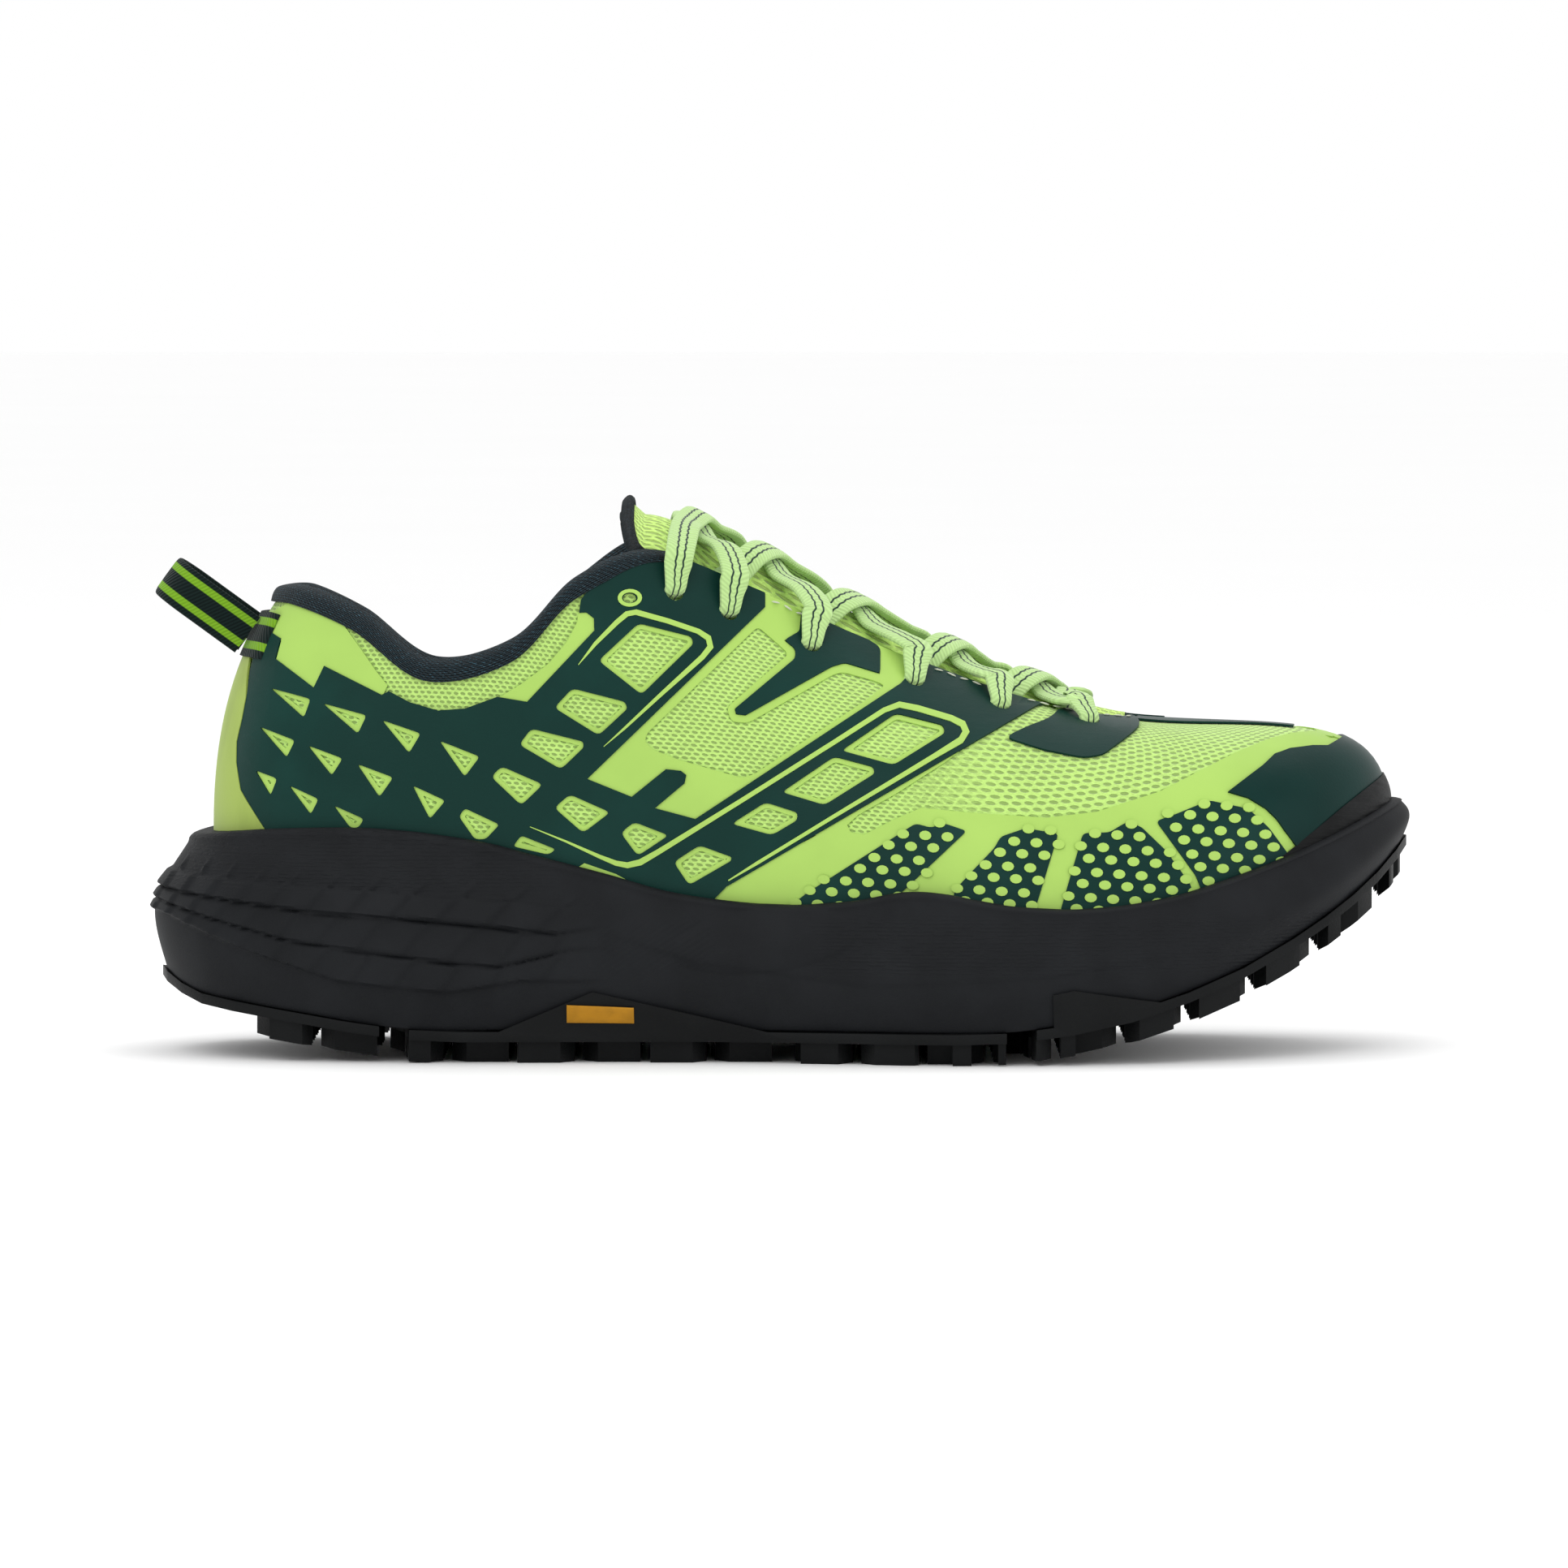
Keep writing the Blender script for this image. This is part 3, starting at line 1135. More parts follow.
class ShoeColours(bpy.types.PropertyGroup):
    """Colours of the finished pieces."""

    mesh: colour("Mesh", "Engineered mesh of the upper", (0.422, 0.643, 0.16))
    film: colour("Light film", "Smooth lime film", (0.37, 0.578, 0.116))
    overlay: colour("Dark overlay", "Dark green film over the mesh", (0.0035, 0.0274, 0.022))
    toe: colour("Toe cap", "Film over the toe", (0.000975, 0.0197, 0.0166))
    heel_strip: colour("Heel strip", "Olive film down the heel", (0.316, 0.424, 0.084))
    knit: colour("Collar knit", "Knit over the collar and linings", (0.0048, 0.0125, 0.0168))
    tongue: colour("Tongue", "Mesh face of the tongue", (0.607, 0.875, 0.21))
    insole: colour("Sockliner", "Cloth on the sockliner", (0.012, 0.038, 0.036))
    lace: colour("Lace", "Main colour of the lace", (0.445, 0.656, 0.254))
    lace_stripe: colour("Lace stripe", "Zigzag stripes of the lace", (0.008, 0.03, 0.022))
    loop: colour("Heel loop", "Ground colour of the heel loop", (0.004, 0.010, 0.009))
    loop_stripe: colour("Heel loop stripe", "Stripes of the heel loop", (0.17, 0.36, 0.018))
    midsole: colour("Midsole", "Foam of the midsole", (0.00855, 0.00935, 0.0107))
    rubber: colour("Rubber", "Rubber of the outsole and bumper", (0.0055, 0.006, 0.0063))
    badge: colour("Badge", "Plain plate on the sidewall", (0.419, 0.191, 0.007))
    stitch: colour("Stitching", "Thread of the eyestay stitching", (0.62, 0.66, 0.52))


# ---------------------------------------------------------------- the pieces
# Each film: how high its face stands over the mesh, and how deep it goes below its face.
LIGHT_FILM = (0.42, 0.3)
COLLAR_FILM = (0.5, 0.35)
PANEL_FILM = (0.72, 0.35)
DOT_FILM = (0.92, 0.25)
LINE_FILM = (0.95, 0.2)
THROAT_FILM = (0.98, 0.4)
EYELET_FILM = (1.0, 0.3)
DARK_DEPTH = 0.5
HOLE_RADIUS = 2.3
HOLE_IN_MESH = 2.6
SPARE_EYELET = (-36.9, 110.4)


def oval(middle, wide, high, count):
    turns = np.linspace(0, 2 * math.pi, count + 1)[:-1]
    return [(middle[0] + wide * math.cos(k), middle[1] + high * math.sin(k)) for k in turns]


def spine_out(points):
    """Directions away from the middle of the shoe, for telling outside from inside."""
    x = np.clip(points[:, 0], -95, 100)
    return points - np.column_stack((x, np.zeros(len(points)), np.full(len(points), 50)))


def build_lace():
    route, facing, widths = smooth_route(lace_stops(), 7)
    bm = swept_band(route, facing, widths, sizes().lace_thickness / MM)
    finish_mesh("lace_band", bm, lace_weave(), "shoe", replaced=("lace",))


def hole_places(side):
    u = (TOE + side * THROAT_STATIONS * np.array(LACE_ROWS)) / STATIONS
    return u, t_below_top(u, EYELET_SETBACK)


def build_upper_shell():
    bm = laid_grid(560, 62, skin, lambda a, b: skin_frame(a, b)[0], shell_uv)
    points = coordinates(bm)
    openness = bm.verts.layers.float.new("openness")
    vamp = np.clip((points[:, 0] - 22) / 30, 0, 1) * np.clip((points[:, 2] - 52) / 8, 0, 1)
    for v, value in zip(bm.verts, vamp):
        v[openness] = value
    centres = np.concatenate([skin(*hole_places(side)) for side in (-1, 1)])

    def in_hole(face):
        return min(np.linalg.norm(centres - np.array(face.calc_center_median()), axis=1)) < HOLE_IN_MESH

    doomed = [face for face in bm.faces if in_hole(face)]
    bmesh.ops.delete(bm, geom=doomed, context="FACES")
    bmesh.ops.remove_doubles(bm, verts=bm.verts[:], dist=0.004)
    thicken(bm, behind(bm, MESH_THICKNESS - 0.2))
    finish_mesh(
        "upper_mesh_shell", bm, open_mesh(), "shoe", replaced=("upper_mesh",),
    )


def shell_uv(a, b):
    uv = skin_uv(a, b)
    uv[a > 0.99999, 0] = skin_uv(np.array([0.999999]), np.array([0.5]))[0, 0]
    return uv


def hole_loops():
    """The lace holes on the lateral side, as rings drawn in side view."""
    u, t = hole_places(-1)
    normal, rise = skin_frame(u, t)
    sideways = np.cross(normal, rise)
    middle = skin_point(u, t)
    turns = np.linspace(0, 2 * math.pi, 16, endpoint=False)
    loops = []
    for m, s, r in zip(middle, sideways, rise):
        points = [m + (s * math.cos(k) + r * math.sin(k)) * HOLE_RADIUS for k in turns]
        loops.append([tuple(q) for q in seen_from_side(np.array(points))])
    return loops


def build_films():
    lift = sizes().film_lift / MM
    loops = hole_loops()
    corners = [rounded(loop, 0.9) for loop in TRIANGLES]
    panes = [rounded(loop, 1.3) for loop in WINDOWS]
    spare = oval(SPARE_EYELET, 1.6, 1.2, 13)
    rear = outline_bmesh(REAR_OVERLAY, (*corners, *panes, *(loops[k] for k in (5, 4, 2, 1)), spare), cell=2.2)
    strip = outline_bmesh(rounded(STRIP_OVERLAY, 0.9), (loops[3],), cell=2.2)
    patch = outline_bmesh(rounded(EYELET_PATCH, 2.0), (loops[0],), cell=2.0)
    for side, word in SIDES:
        for part, flat, replaced in (
            ("rear", rear, (f"quarter_film_{word}",)),
            ("strip", strip, (f"eyestay_{word}",)),
            ("patch", patch, ()),
        ):
            laid_film(f"overlay_{part}_{word}", flat, dark_film(), lift, DARK_DEPTH, side, replaced=replaced)
    for flat in (rear, strip, patch):
        flat.free()


def build_medial_eyestay():
    """The dark film that lines the throat on the far side, with its lace holes."""
    stations = np.linspace(6.3, 12.4, 48)
    u = stations / STATIONS
    widening, narrowing = np.clip((stations - 6.3) / 0.6, 0, 1), np.clip((stations - 10.4) / 2, 0, 1)
    deep = 1.5 + 11.5 * widening * (1 - 0.45 * narrowing)
    upper = list(zip(u * GIRTH, t_below_top(u, 0.4) * RISE))
    lower = list(zip(u * GIRTH, t_below_top(u, deep) * RISE))
    turns = np.linspace(0, 2 * math.pi, 16, endpoint=False)
    holes = []
    for u_hole, t_hole in zip(*hole_places(-1)):
        here = skin_point(np.full(3, u_hole) + (0, 1e-4, 0), np.full(3, t_hole) + (0, 0, 1e-4))
        along, up = (float(np.linalg.norm(here[k] - here[0])) / 1e-4 for k in (1, 2))
        u_ring = u_hole + np.cos(turns) * HOLE_RADIUS / along
        t_ring = t_hole + np.sin(turns) * HOLE_RADIUS / up
        holes.append([(a * GIRTH, b * RISE) for a, b in zip(u_ring, t_ring)])
    flat = outline_bmesh(upper + lower[::-1], holes, cell=2.5)
    laid_film("overlay_throat_medial", flat, dark_film(), *THROAT_FILM, 1, drawn="ut")
    flat.free()


def gathered(parts):
    """Several flat meshes as one."""
    whole = bmesh.new()
    for part in parts:
        mesh = bpy.data.meshes.new("part")
        part.to_mesh(mesh)
        part.free()
        whole.from_mesh(mesh)
        bpy.data.meshes.remove(mesh)
    return whole


def window_rim(loop, inset, corner):
    """A light frame that lines one window of the dark film."""
    inner = rounded(shrunk(loop, inset), corner * 0.6)
    return outline_bmesh(rounded(shrunk(loop, -0.6), corner), (inner,), cell=3.0)


def build_light_films():
    frames = gathered(
        [window_rim(loop, 1.15, 1.0) for loop in TRIANGLES] + [window_rim(loop, 1.1, 1.4) for loop in WINDOWS]
    )
    panel = outline_bmesh(PANEL, (rounded(PANEL_MESH, 1.2),), cell=3.0)
    heel_band = outline_bmesh(BAND_FILM_HEEL, cell=2.5)
    front_band = outline_bmesh(rounded(BAND_FILM_FRONT, 1.0), cell=2.5)
    forefoot = outline_bmesh(FOREFOOT_FILM, cell=3.0)
    for side, word in SIDES:
        laid_film(f"window_rims_{word}", frames, lime_film(), *LIGHT_FILM, side)
        laid_film(f"panel_film_{word}", panel, lime_film(), *LIGHT_FILM, side)
        laid_film(f"collar_band_heel_{word}", heel_band, lime_film(), *COLLAR_FILM, side)
        laid_film(f"collar_band_front_{word}", front_band, lime_film(), *COLLAR_FILM, side)
        laid_film(
            f"forefoot_film_{word}_skin", forefoot, lime_film(), *LIGHT_FILM, side,
            replaced=(f"forefoot_film_{word}",),
        )
    for flat in (frames, panel, heel_band, front_band, forefoot):
        flat.free()


def build_printed_lines():
    flat = gathered(
        [outline_bmesh(loop, cell=4.0) for loop in (ribbon(*OUTER_LINE), ribbon(*INNER_LINE), LOW_SLIVER)]
    )
    eyelet = outline_bmesh(oval(SPARE_EYELET, 2.9, 2.1, 19), (oval(SPARE_EYELET, 1.9, 1.3, 19),), cell=3.0)
    for side, word in SIDES:
        laid_film(f"printed_lines_{word}", flat, lime_film(), *LINE_FILM, side)
        laid_film(f"spare_eyelet_{word}", eyelet, lime_film(), *EYELET_FILM, side)
    flat.free()
    eyelet.free()


def build_dotted_panels():
    wide = sizes().dot_width / MM
    panels = gathered([outline_bmesh(rounded(loop, 1.0), cell=3.0) for loop in DOTTED])
    dots = bmesh.new()
    for x0 in np.arange(-10, 130, 5.3):
        for row, z0 in enumerate(np.arange(28, 70, 2.95)):
            lean = math.radians(-8 + (x0 - 20) * 0.1)
            x = x0 + (row % 2) * 2.65 + (z0 - 45) * 0.25
            z = z0 - (x0 - 60) * math.tan(math.radians(4))
            corners = [(x + dx, z + dz) for dx in (-0.9, 0.9) for dz in (-0.7, 0.7)]
            if not any(inside(loop, *corner) for loop in DOTTED for corner in corners):
                continue
            turn = Matrix.Rotation(lean, 4, "Z") @ Matrix.Diagonal((1, 0.76, 1, 1))
            matrix = Matrix.Translation((x, z, 0)) @ turn
            bmesh.ops.create_circle(dots, cap_ends=True, segments=12, radius=wide / 2, matrix=matrix)
    for side, word in SIDES:
        laid_film(f"dotted_panels_{word}", panels, dark_film(), *PANEL_FILM, side)
        laid_film(f"panel_dots_{word}", dots, lime_film(), *DOT_FILM, side)
    panels.free()
    dots.free()


def end_patch(name, half, material, lift, depth, middle, replaced=(), cell=2.5, slot="bonded_film"):
    """A patch over the heel or the toe, from the lateral half of its edge given as (u, t)."""
    across = [(2 * middle - u, t) for u, t in reversed(half)]
    loop = [(u * GIRTH, t * RISE) for u, t in half + across]
    flat = outline_bmesh(loop, cell=cell)
    piece = laid_film(name, flat, material, lift, depth, -1, drawn="ut", replaced=replaced, slot=slot)
    flat.free()
    return piece


def build_toe_and_heel():
    u, t = from_side(TOE_CAP_EDGE)
    edge = [(float(a), float(b)) for a, b in zip(u, t)]
    edge[0] = (edge[0][0], 0.12)
    end_patch("toe_cap_film", edge, toe_film(), 1.0, 0.7, 0.5, replaced=("toe_cap",), slot="toe_film")
    u, t = from_side(HEEL_STRIP_EDGE)
    strip = [(float(a), float(b)) for a, b in zip(u, t)]
    strip[0] = (strip[0][0], 0.1)
    half = [(-a, b) for a, b in strip]
    top = t_below_top(np.zeros(1), 7.5)[0]
    half.append((-0.007, float(top)))
    end_patch("heel_strip", half, heel_film(), 0.95, 0.5, 0.0, replaced=("heel_panel",), slot="heel_film")
    spine = []
    for s in np.linspace(0, 1, 12):
        t_here = 1.0 - 0.40 * s
        spine.append(((TOE - 1.25 * (1 - s) ** 3 - 0.1) / STATIONS, t_here))
    end_patch("vamp_stripe", spine[::-1], dark_film(), 0.72, 0.45, 0.5, replaced=("vamp_spine",))

    def place(a, b):
        u, reach = 0.5 + (a - 0.5) * 3.6 / STATIONS, np.abs(a - 0.5) * 2
        edge_z = wall_top(skin_point(u, np.full(len(u), 0.2))[:, 0])
        t = np.full(len(u), 0.3)
        for _ in range(12):
            p = skin_point(u, t)
            t = np.clip(t + ((edge_z - 1.5 + b * (7.6 * (1 - reach**2.2) + 1.6)) - p[:, 2]) / 90, 0.02, 0.95)
        bulge = 1.35 + 0.5 * np.sin(b * math.pi) - 0.9 * reach**4
        return skin(u, t, bulge)

    def facing(a, b):
        return spine_out(place(a, b))

    bm = laid_grid(150, 26, place, facing, scaled_uv(0.16, 0.012))
    thicken(bm, behind(bm, 1.1))
    finish_mesh(
        "toe_bumper_rubber", bm, bumper_rubber(), "shoe", replaced=("toe_bumper",),
    )


def collar_profile(u, share):
    """The knit's face at one place round the collar, from its outer edge (share 0) to its inner edge (1)."""
    s = stations_from_heel(u)
    fade = np.clip((6.35 - s) / 0.9, 0, 1)
    taper = 1 - 0.8 * (np.minimum(s, COLLAR_END) / (COLLAR_END + 0.3)) ** 4
    back, gap = MESH_THICKNESS + 2 * CLEARANCE, CLEARANCE + 0.9
    normal, rise = skin_frame(u, np.ones(len(u)))
    top = skin_point(u, np.ones(len(u)))
    roll = COLLAR_ROLL * (0.35 + 0.65 * fade)

    def rolled(h, o):
        return top + rise * np.broadcast_to(h, len(u))[:, None] + normal * np.broadcast_to(o, len(u))[:, None]

    def within(d, full):
        d = d * (0.2 + 0.8 * fade)
        depth = back + (0.5 + 5.5 * full * taper) * (0.25 + 0.75 * fade) + gap
        return skin(u, t_below_top(u, d), -depth)

    stops = np.array([
        rolled(-roll, gap * 0.75), rolled(-roll * 0.55, gap * 1.35), rolled(-0.6, gap * 1.2),
        rolled(gap, -0.4), rolled(gap * 1.15, -back), within(1, 0.6), within(5, 0.98),
        within(COLLAR_DEPTH * 0.4, 1.06), within(COLLAR_DEPTH * 0.75, 0.76), within(COLLAR_DEPTH, 0.1),
    ])
    k = share * (len(stops) - 1)
    i = np.clip(np.floor(k).astype(int), 0, len(stops) - 2)
    w = (k - i)[:, None]
    row = np.arange(len(u))
    p0, p1, p2, p3 = (stops[np.clip(i + j, 0, len(stops) - 1), row] for j in (-1, 0, 1, 2))
    m1, m2 = (p2 - p0) / 2, (p3 - p1) / 2
    return hermite(p1, p2, m1, m2, w)


def build_collar():
    reach = 6.3 / STATIONS

    def place(a, b):
        return collar_profile((a - 0.5) * 2 * reach, b)

    def facing(a, b):
        u = (a - 0.5) * 2 * reach
        return place(a, b) - skin(u, t_below_top(u, 6 + 20 * b), -3.5)

    bm = laid_grid(420, 44, place, facing, scaled_uv(0.42, 0.045))
    thicken(bm, behind(bm, 0.7))
    collar = finish_mesh(
        "collar_knit_cover", bm, collar_knit(), "shoe", replaced=("collar_lining",),
    )


def build_tongue():
    def narrow(v):
        s = np.clip((v - 0.86) / 0.12, 0, 1)
        return 1 - 0.48 * s * s * (3 - 2 * s)

    def route(a):
        return np.where(a < 0.9, 0.14 + a / 0.9 * 0.86, 1 + (a - 0.9) / 0.1 * TONGUE_TIP)

    def face(a, b, offset):
        v, s = route(a), b * 2 - 1
        rounded_tip = 1 - 0.35 * np.clip((a - 0.93) / 0.07, 0, 1) ** 3
        return throat_point(v, s * narrow(v) * rounded_tip, offset)

    bm = laid_grid(110, 60, lambda a, b: face(a, b, 0.0), facing_to(0.3, 0, 1.0), scaled_uv(0.125, 0.07))
    thicken(bm, behind(bm, 0.9))
    finish_mesh(
        "tongue_mesh_face", bm, tongue_mesh(), "tongue", replaced=("tongue_face",),
    )

    def full(a, b):
        v = route(a)
        k = np.clip((v - 0.4) / 0.6, 0, 1)
        thick = 1.6 + 3.9 * k * k * (3 - 2 * k)
        return thick * (1 - 0.7 * (b * 2 - 1) ** 4)

    def pad(a, b):
        turn = 2 * math.pi * b
        side = (1 - np.cos(turn)) / 2
        middle = -1.3 - full(a, side) / 2 - 0.6
        half = full(a, side) / 2 + 0.6
        edge = np.sin(turn)
        squared = np.sign(edge) * np.abs(edge) ** 0.35
        return face(a, 0.02 + side * 0.96, middle + half * squared)

    def pad_out(a, b):
        turn = 2 * math.pi * b
        return np.column_stack((0.2 * np.sin(turn), -np.cos(turn), np.sin(turn)))

    bm = laid_grid(100, 72, pad, pad_out, scaled_uv(0.125, 0.14))
    bmesh.ops.remove_doubles(bm, verts=bm.verts[:], dist=0.01)
    bmesh.ops.holes_fill(bm, edges=[e for e in bm.edges if e.is_boundary], sides=0)
    cushion = finish_mesh(
        "tongue_padding", bm, lining_fabric(), "tongue", replaced=("tongue_foam", "tongue_lining"),
    )
    spread = np.linspace(0, 1, 60)
    tip = face(np.full(60, 1.0), spread, -0.9)
    left = face(np.linspace(0.86, 1.0, 26)[:-1], np.zeros(25), -0.9)
    right = face(np.linspace(1.0, 0.86, 26)[1:], np.ones(25), -0.9)
    path = np.vstack((left, tip, right))
    facing = np.tile((0.66, 0, 0.75), (len(path), 1))
    band = swept_band(path, facing, np.full(len(path), 2.6), 3.4, around=14, squareness=0.8)
    finish_mesh("tongue_binding", band, collar_knit(), "tongue")


def build_heel_loop():
    width = sizes().loop_width / MM
    root = skin(np.zeros(1), t_below_top(np.zeros(1), 13), 0.9 + 0.3 + 5)[0]
    tilt = math.radians(36)
    back = np.array([-math.cos(tilt), 0, math.sin(tilt)])
    bend, straight = 7.5, 11.5
    flat = [(-4.6, -bend), (-2, -bend), (3, -bend), (8, -bend)]
    flat += [(straight + bend * math.sin(k), -bend * math.cos(k)) for k in np.linspace(0, math.pi, 15)]
    flat += [(8, bend), (3, bend), (-2, bend), (-4.6, bend)]
    outer = [(0, -1)] * 4 + [(math.sin(k), -math.cos(k)) for k in np.linspace(0, math.pi, 15)] + [(0, 1)] * 4
    stops = [
        (root + back * x + np.array([0, y, 0]), back * fx + np.array([0, fy, 0]), width)
        for (x, y), (fx, fy) in zip(flat, outer)
    ]
    route, facing, widths = smooth_route(stops, 5)
    bm = swept_band(route, facing, widths, 1.5, around=16, squareness=0.4)
    finish_mesh("heel_loop_webbing", bm, loop_webbing(), "loop", replaced=("heel_loop",))

    def place(a, b):
        u = (a - 0.5) * 1.5 / STATIONS
        edge = np.minimum(a, 1 - a) * 12
        t = t_below_top(u, 7.6 + (1 - b) * 11.5)
        return skin(u, t, 0.8 + 0.9 * np.clip(edge, 0, 1) ** 0.5)

    bm = laid_grid(60, 16, place, facing_to(-1.0, 0, 0.2), scaled_uv(0.03, 1))
    thicken(bm, behind(bm, 0.9))
    finish_mesh("heel_loop_anchor", bm, loop_webbing(), "shoe")


def sidewall_relief(x, z):
    """How far the sidewall stands out, seen from the side: shelves of facets, ribs and a long swell."""
    depth = sizes().facet_depth / MM
    a = np.interp(x, (-150, -145.7, -100, -59, -43), (43.4, 42.9, 40, 37, 34.8))
    b = np.interp(x, (-150, -142.8, -110, -82.6, -53, -40), (38.6, 38, 34.2, 32.3, 29.3, 31))
    c = np.interp(x, (-150, -146.7, -115.6, -78.7, -67, -50), (35.6, 35.2, 27.4, 22.5, 21.6, 25.5))
    d = np.interp(x, (-150, -145.7, -125, -104, -78.7, -62), (32.8, 32.3, 24.5, 17.7, 15.2, 18))
    forward = np.clip((-x - 40) / 22, 0, 1)
    phase = 13 * np.power(np.clip((x + 150) / 105, 0, 1.2), 0.62)
    relief = np.zeros(len(x))

    def step(value, width):
        return np.clip(value / width, 0, 1)

    for top, bottom, lean, share in ((a, b, 0.05, 1.0), (b, c, 0.045, 0.75), (c, d, 0.04, 0.9)):
        q = (z - bottom) / np.maximum(top - bottom, 0.5)
        band = step(z - bottom, 0.9) * step(top - z, 0.5)
        saw = np.mod(phase - (z - bottom) * lean * 1.6 + share, 1.0)
        scale = 0.25 + 0.75 * (1 - q) + 0.55 * saw * step(1 - saw, 0.12)
        relief += band * scale * share
    ticks = np.mod(phase - (z - a) * 0.09, 1.0)
    above = step(z - a, 0.3) * step(a + 4.2 - z, 2.4)
    relief += above * 0.45 * (1 - step(np.abs(ticks - 0.5), 0.09))
    relief *= forward * depth
    ribs = step(x + 47, 5) * step(-13 - x, 6) * step(z - 17 - (x + 47) * 0.1, 3) * step(34 - z, 3)
    relief += ribs * 0.28 * np.abs(np.mod((x * 0.62 - z) / 1.5, 1.0) - 0.5) * 2
    eye = np.clip(1 - ((x + 4) / 22) ** 2 - ((z - 28 - 0.12 * (x + 4)) / 7.5) ** 2, 0, 1)
    relief += 0.9 * np.sqrt(eye)
    seam = np.interp(x, (-45, -20, 20, 60, 110), (30, 22, 17, 19, 27))
    relief += 0.4 * step(z - seam, 1.2) * step(x + 45, 15) * step(115 - x, 20)
    return relief


def build_midsole():
    def place(a, b):
        w = np.clip((b - 0.05) / 0.87, 0, 1)
        under = np.clip((0.05 - b) / 0.05, 0, 1)
        over = np.clip((b - 0.92) / 0.08, 0, 1)
        p = sole_point(a, w)
        relief = sidewall_relief(p[:, 0], p[:, 2] - 1.2)
        relief = relief * np.clip(w / 0.06, 0, 1) * np.clip((1 - w) / 0.05, 0, 1)
        lip = 0.5 * np.exp(-(((w - 0.975) / 0.02) ** 2))
        p += outward(a) * (0.3 + relief + lip - 3.2 * under - 4.6 * over)[:, None]
        p[:, 2] += 0.25 * np.sin(np.clip(over * 3, 0, 1) * math.pi / 2) - 0.9 * over**3 - 0.25 * under
        return p

    bm = laid_grid(980, 84, place, lambda a, b: outward(a), scaled_uv(0.75, 0.05))
    finish_mesh("midsole_sidewall", bm, midsole_foam(), "shoe", closed=False, sharp=50)


def build_outsole():
    for name in ("outsole_heel", "outsole_midfoot", "outsole_forefoot"):
        bm = bmesh.new()
        bm.from_mesh(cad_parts[name].data)
        bmesh.ops.scale(bm, verts=bm.verts[:], vec=(1 / MM, 1 / MM, 1 / MM))
        bmesh.ops.remove_doubles(bm, verts=bm.verts[:], dist=0.02)
        bmesh.ops.dissolve_limit(bm, angle_limit=math.radians(4), verts=bm.verts[:], edges=bm.edges[:])
        keen = [e for e in bm.edges if e.is_manifold and e.calc_face_angle(0) > math.radians(38)]
        bmesh.ops.bevel(
            bm, geom=keen, offset=0.45, offset_type="OFFSET", segments=2, profile=0.5, affect="EDGES",
            material=-1, clamp_overlap=True,
        )
        finish_mesh(
            f"{name}_moulded", bm, outsole_rubber(), "shoe", replaced=(name,),
            sharp=32,
        )


def build_insole():
    inset = MESH_THICKNESS + 1.5 + 0.9

    def edge(u):
        p = ring(FEATHER, u) - outward(u) * inset
        p[:, 2] = footbed(p[:, 0]) + CLEARANCE + 4.2
        return p + SHIFT

    def place(a, b):
        lateral, medial = edge(0.5 * a), edge(1 - 0.5 * a)
        share = 0.5 - 0.5 * np.cos(b * math.pi)
        p = lateral + (medial - lateral) * share[:, None]
        span = np.linalg.norm(medial - lateral, axis=1)
        near = np.minimum(share, 1 - share) * span
        end = np.minimum(a, 1 - a) * 300
        rim = 3.2 * np.exp(-((np.minimum(near, end) / 4.5) ** 2))
        arch = 4.0 * np.clip(share - 0.45, 0, 1) * np.exp(-(((p[:, 0] + 20) / 38) ** 2))
        crown = 0.8 * np.sin(share * math.pi) * np.exp(-(((p[:, 0] - 45) / 30) ** 2))
        p[:, 2] += rim + arch + crown
        return p

    bm = laid_grid(
        190, 60, lambda a, b: place(0.003 + a * 0.994, b), facing_to(0, 0, 1.0),
        lambda a, b: place(a, b)[:, :2] * MM,
    )
    thicken(bm, behind(bm, 3.2))
    cushion = finish_mesh(
        "sockliner_cushion", bm, insole_fabric(), "shoe", replaced=("insole",),
    )


def build_stitching():
    whole = bmesh.new()
    length, thread = sizes().stitch_length / MM, 0.26
    pitch = length * 1.35
    for side, _ in SIDES:
        for span in ((7.25, 7.95), (8.75, 9.35), (9.75, 12.2)):
            u0, u1 = ((s if side < 0 else STATIONS - s) / STATIONS for s in span)
            u = np.linspace(u0, u1, 200)
            line = skin(u, t_below_top(u, 1.5), 0.9)
            run = np.concatenate(([0], np.cumsum(np.linalg.norm(np.diff(line, axis=0), axis=1))))
            for k in range(int(run[-1] / pitch)):
                start, end = k * pitch, k * pitch + length
                at = np.interp([start, end], run, u)
                down = [1.2, 1.8] if k % 2 else [1.8, 1.2]
                p, q = skin(at, t_below_top(at, np.array(down)), 0.95)
                direction = Vector(q - p)
                turn = direction.to_track_quat("Z", "Y").to_matrix().to_4x4()
                shape = Matrix.Diagonal((thread, thread, direction.length / 2, 1))
                matrix = Matrix.Translation((p + q) / 2) @ turn @ shape
                bmesh.ops.create_icosphere(whole, subdivisions=1, radius=1.0, matrix=matrix)
    finish_mesh("eyestay_stitching", whole, stitch_thread(), "shoe", closed=False)


def build_badge():
    """A plain plate on the sidewall's rubber."""
    reach = 0.5 * 15 / 550

    def place(a, b):
        u = 4.65 / STATIONS + (a - 0.5) * 2 * reach
        edge = np.minimum(np.minimum(a, 1 - a) * 10, np.minimum(b, 1 - b) * 4)
        return sole_point(u, 0.05 + b * 0.11, 1.95 + 0.35 * np.clip(edge, 0, 1) ** 0.5)

    bm = laid_grid(60, 18, place, facing_to(0, -1.0, 0))
    thicken(bm, behind(bm, 0.8))
    finish_mesh("side_badge", bm, badge_plastic(), "shoe", replaced=("sole_badge",))


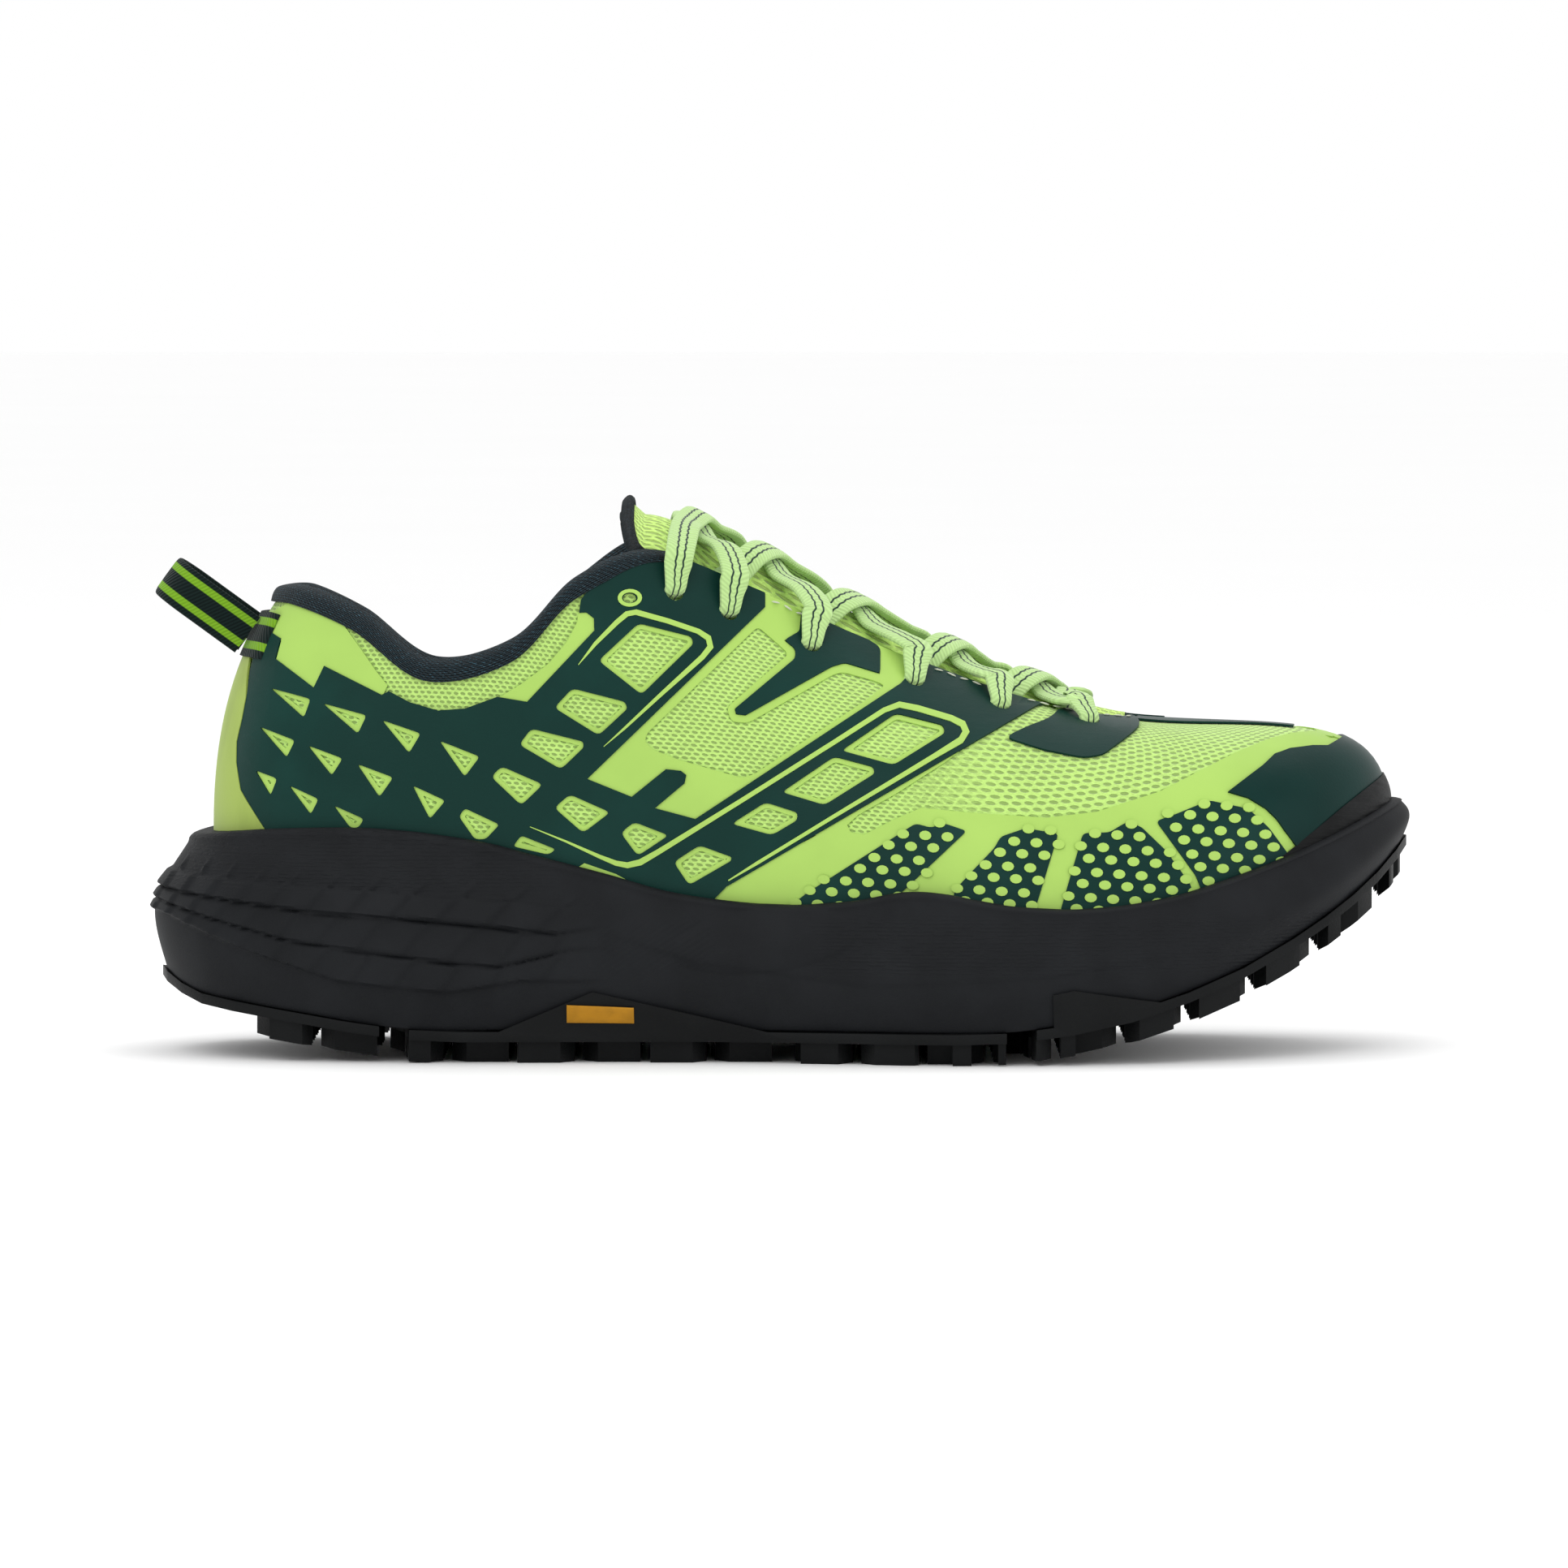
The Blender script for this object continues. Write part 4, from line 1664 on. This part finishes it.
HIDDEN = {
    "strobel_board": board_fabric, "heel_counter": board_fabric, "toe_puff": board_fabric,
    "collar_foam": foam_padding, "midsole": midsole_foam, "aglet_first": aglet_film,
    "aglet_second": aglet_film,
}


def finish_kept_solids():
    for name, finish in HIDDEN.items():
        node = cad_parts[name]
        node.data.materials.clear()
        node.data.materials.append(finish())


def build_stage():
    scene = bpy.context.scene
    camera = bpy.data.objects.new("camera", bpy.data.cameras.new("camera"))
    scene.collection.objects.link(camera)
    camera.location = EYE * MM
    camera.rotation_euler = (math.pi / 2 - TILT, 0, 0)
    camera.data.sensor_width = 36
    camera.data.lens = 36 * REACH / VIEW_WIDTH
    camera.data.clip_end = 30
    scene.camera = camera
    bm = bmesh.new()
    bmesh.ops.create_grid(bm, x_segments=40, y_segments=40, size=15)
    mesh = bpy.data.meshes.new("studio_floor")
    bm.to_mesh(mesh)
    bm.free()
    mesh.shade_smooth()
    mesh.materials.append(studio_floor())
    floor = bpy.data.objects.new("studio_floor", mesh)
    scene.collection.objects.link(floor)
    world = bpy.data.worlds.new("studio")
    world.use_nodes = True
    world.node_tree.nodes["Background"].inputs[0].default_value = (1, 1, 1, 1)
    world.node_tree.nodes["Background"].inputs[1].default_value = 1.0
    scene.world = world
    for name, place, aim, wide, power in (
        ("key_softbox", (-0.5, -1.3, 1.25), (0, 0, 0.06), 1.1, 7),
        ("top_softbox", (0.15, 0.25, 1.5), (0, 0, 0.05), 1.3, 5),
        ("side_softbox", (1.4, -0.7, 0.6), (0.05, 0, 0.05), 0.8, 2),
    ):
        light = bpy.data.objects.new(name, bpy.data.lights.new(name, "AREA"))
        light.data.size = wide
        light.data.energy = power
        light.location = place
        light.rotation_euler = (Vector(aim) - Vector(place)).to_track_quat("-Z", "Y").to_euler()
        scene.collection.objects.link(light)
    scene.view_settings.view_transform = "Standard"


# ---------------------------------------------------------------- operators, panel and registration
class Builder:
    """Runs the functions that make one group of pieces."""

    builders = ()

    def execute(self, context):
        for build in self.builders:
            build()
        return {"FINISHED"}


class SHOE_OT_stage(Builder, bpy.types.Operator):
    """Set up the camera, the floor and the soft lights"""

    bl_idname = "shoe.stage"
    bl_label = "Stage"
    builders = (build_stage,)


class SHOE_OT_lace(Builder, bpy.types.Operator):
    """Thread the flat lace through its holes"""

    bl_idname = "shoe.lace"
    bl_label = "Lace"
    builders = (build_lace,)


class SHOE_OT_upper(Builder, bpy.types.Operator):
    """Lay the engineered mesh over the last"""

    bl_idname = "shoe.upper"
    bl_label = "Mesh upper"
    builders = (build_upper_shell,)


class SHOE_OT_films(Builder, bpy.types.Operator):
    """Bond the dark and light films, the printed lines and the dotted panels to both sides"""

    bl_idname = "shoe.films"
    bl_label = "Bonded films"
    builders = (
        build_films, build_medial_eyestay, build_light_films,
        build_printed_lines, build_dotted_panels,
    )


class SHOE_OT_toe_and_heel(Builder, bpy.types.Operator):
    """Add the toe cap, the toe bumper, the vamp stripe and the heel strip"""

    bl_idname = "shoe.toe_and_heel"
    bl_label = "Toe and heel"
    builders = (build_toe_and_heel,)


class SHOE_OT_collar(Builder, bpy.types.Operator):
    """Roll the padded knit collar over the topline"""

    bl_idname = "shoe.collar"
    bl_label = "Collar"
    builders = (build_collar,)


class SHOE_OT_tongue(Builder, bpy.types.Operator):
    """Make the tongue's face, padding and binding"""

    bl_idname = "shoe.tongue"
    bl_label = "Tongue"
    builders = (build_tongue,)


class SHOE_OT_heel_loop(Builder, bpy.types.Operator):
    """Fold the heel loop's webbing and sew on its anchor"""

    bl_idname = "shoe.heel_loop"
    bl_label = "Heel loop"
    builders = (build_heel_loop,)


class SHOE_OT_midsole(Builder, bpy.types.Operator):
    """Mould the midsole's sidewall and fix its badge"""

    bl_idname = "shoe.midsole"
    bl_label = "Midsole"
    builders = (build_midsole, build_badge)


class SHOE_OT_outsole(Builder, bpy.types.Operator):
    """Round the edges of the rubber pods and their lugs"""

    bl_idname = "shoe.outsole"
    bl_label = "Outsole"
    builders = (build_outsole,)


class SHOE_OT_insole(Builder, bpy.types.Operator):
    """Lay the sockliner inside"""

    bl_idname = "shoe.insole"
    bl_label = "Sockliner"
    builders = (build_insole,)


class SHOE_OT_stitching(Builder, bpy.types.Operator):
    """Sew the stitching along the eyestays"""

    bl_idname = "shoe.stitching"
    bl_label = "Stitching"
    builders = (build_stitching,)


class SHOE_OT_kept_solids(Builder, bpy.types.Operator):
    """Give the solids that stay their finishes"""

    bl_idname = "shoe.kept_solids"
    bl_label = "Inner parts"
    builders = (finish_kept_solids,)


OPERATORS = (
    SHOE_OT_stage, SHOE_OT_lace, SHOE_OT_upper, SHOE_OT_films, SHOE_OT_toe_and_heel, SHOE_OT_collar,
    SHOE_OT_tongue, SHOE_OT_heel_loop, SHOE_OT_midsole, SHOE_OT_outsole, SHOE_OT_insole, SHOE_OT_stitching,
    SHOE_OT_kept_solids,
)


class SHOE_PT_panel(bpy.types.Panel):
    """The shoe's settings and pieces"""

    bl_idname = "SHOE_PT_panel"
    bl_label = "Trail running shoe"
    bl_space_type = "VIEW_3D"
    bl_region_type = "UI"
    bl_category = "Shoe"

    def draw(self, context):
        for group in (context.scene.shoe_sizes, context.scene.shoe_colours):
            box = self.layout.box()
            for name in group.__annotations__:
                box.prop(group, name)
        for operator in OPERATORS:
            self.layout.operator(operator.bl_idname)


CLASSES = (ShoeSizes, ShoeColours, *OPERATORS, SHOE_PT_panel)


def register():
    for cls in CLASSES:
        bpy.utils.register_class(cls)
    bpy.types.Scene.shoe_sizes = PointerProperty(type=ShoeSizes)
    bpy.types.Scene.shoe_colours = PointerProperty(type=ShoeColours)


def unregister():
    del bpy.types.Scene.shoe_colours
    del bpy.types.Scene.shoe_sizes
    for cls in reversed(CLASSES):
        bpy.utils.unregister_class(cls)


def main():
    register()
    for operator in OPERATORS:
        group, name = operator.bl_idname.split(".")
        getattr(getattr(bpy.ops, group), name)()


if __name__ == "__main__":
    main()
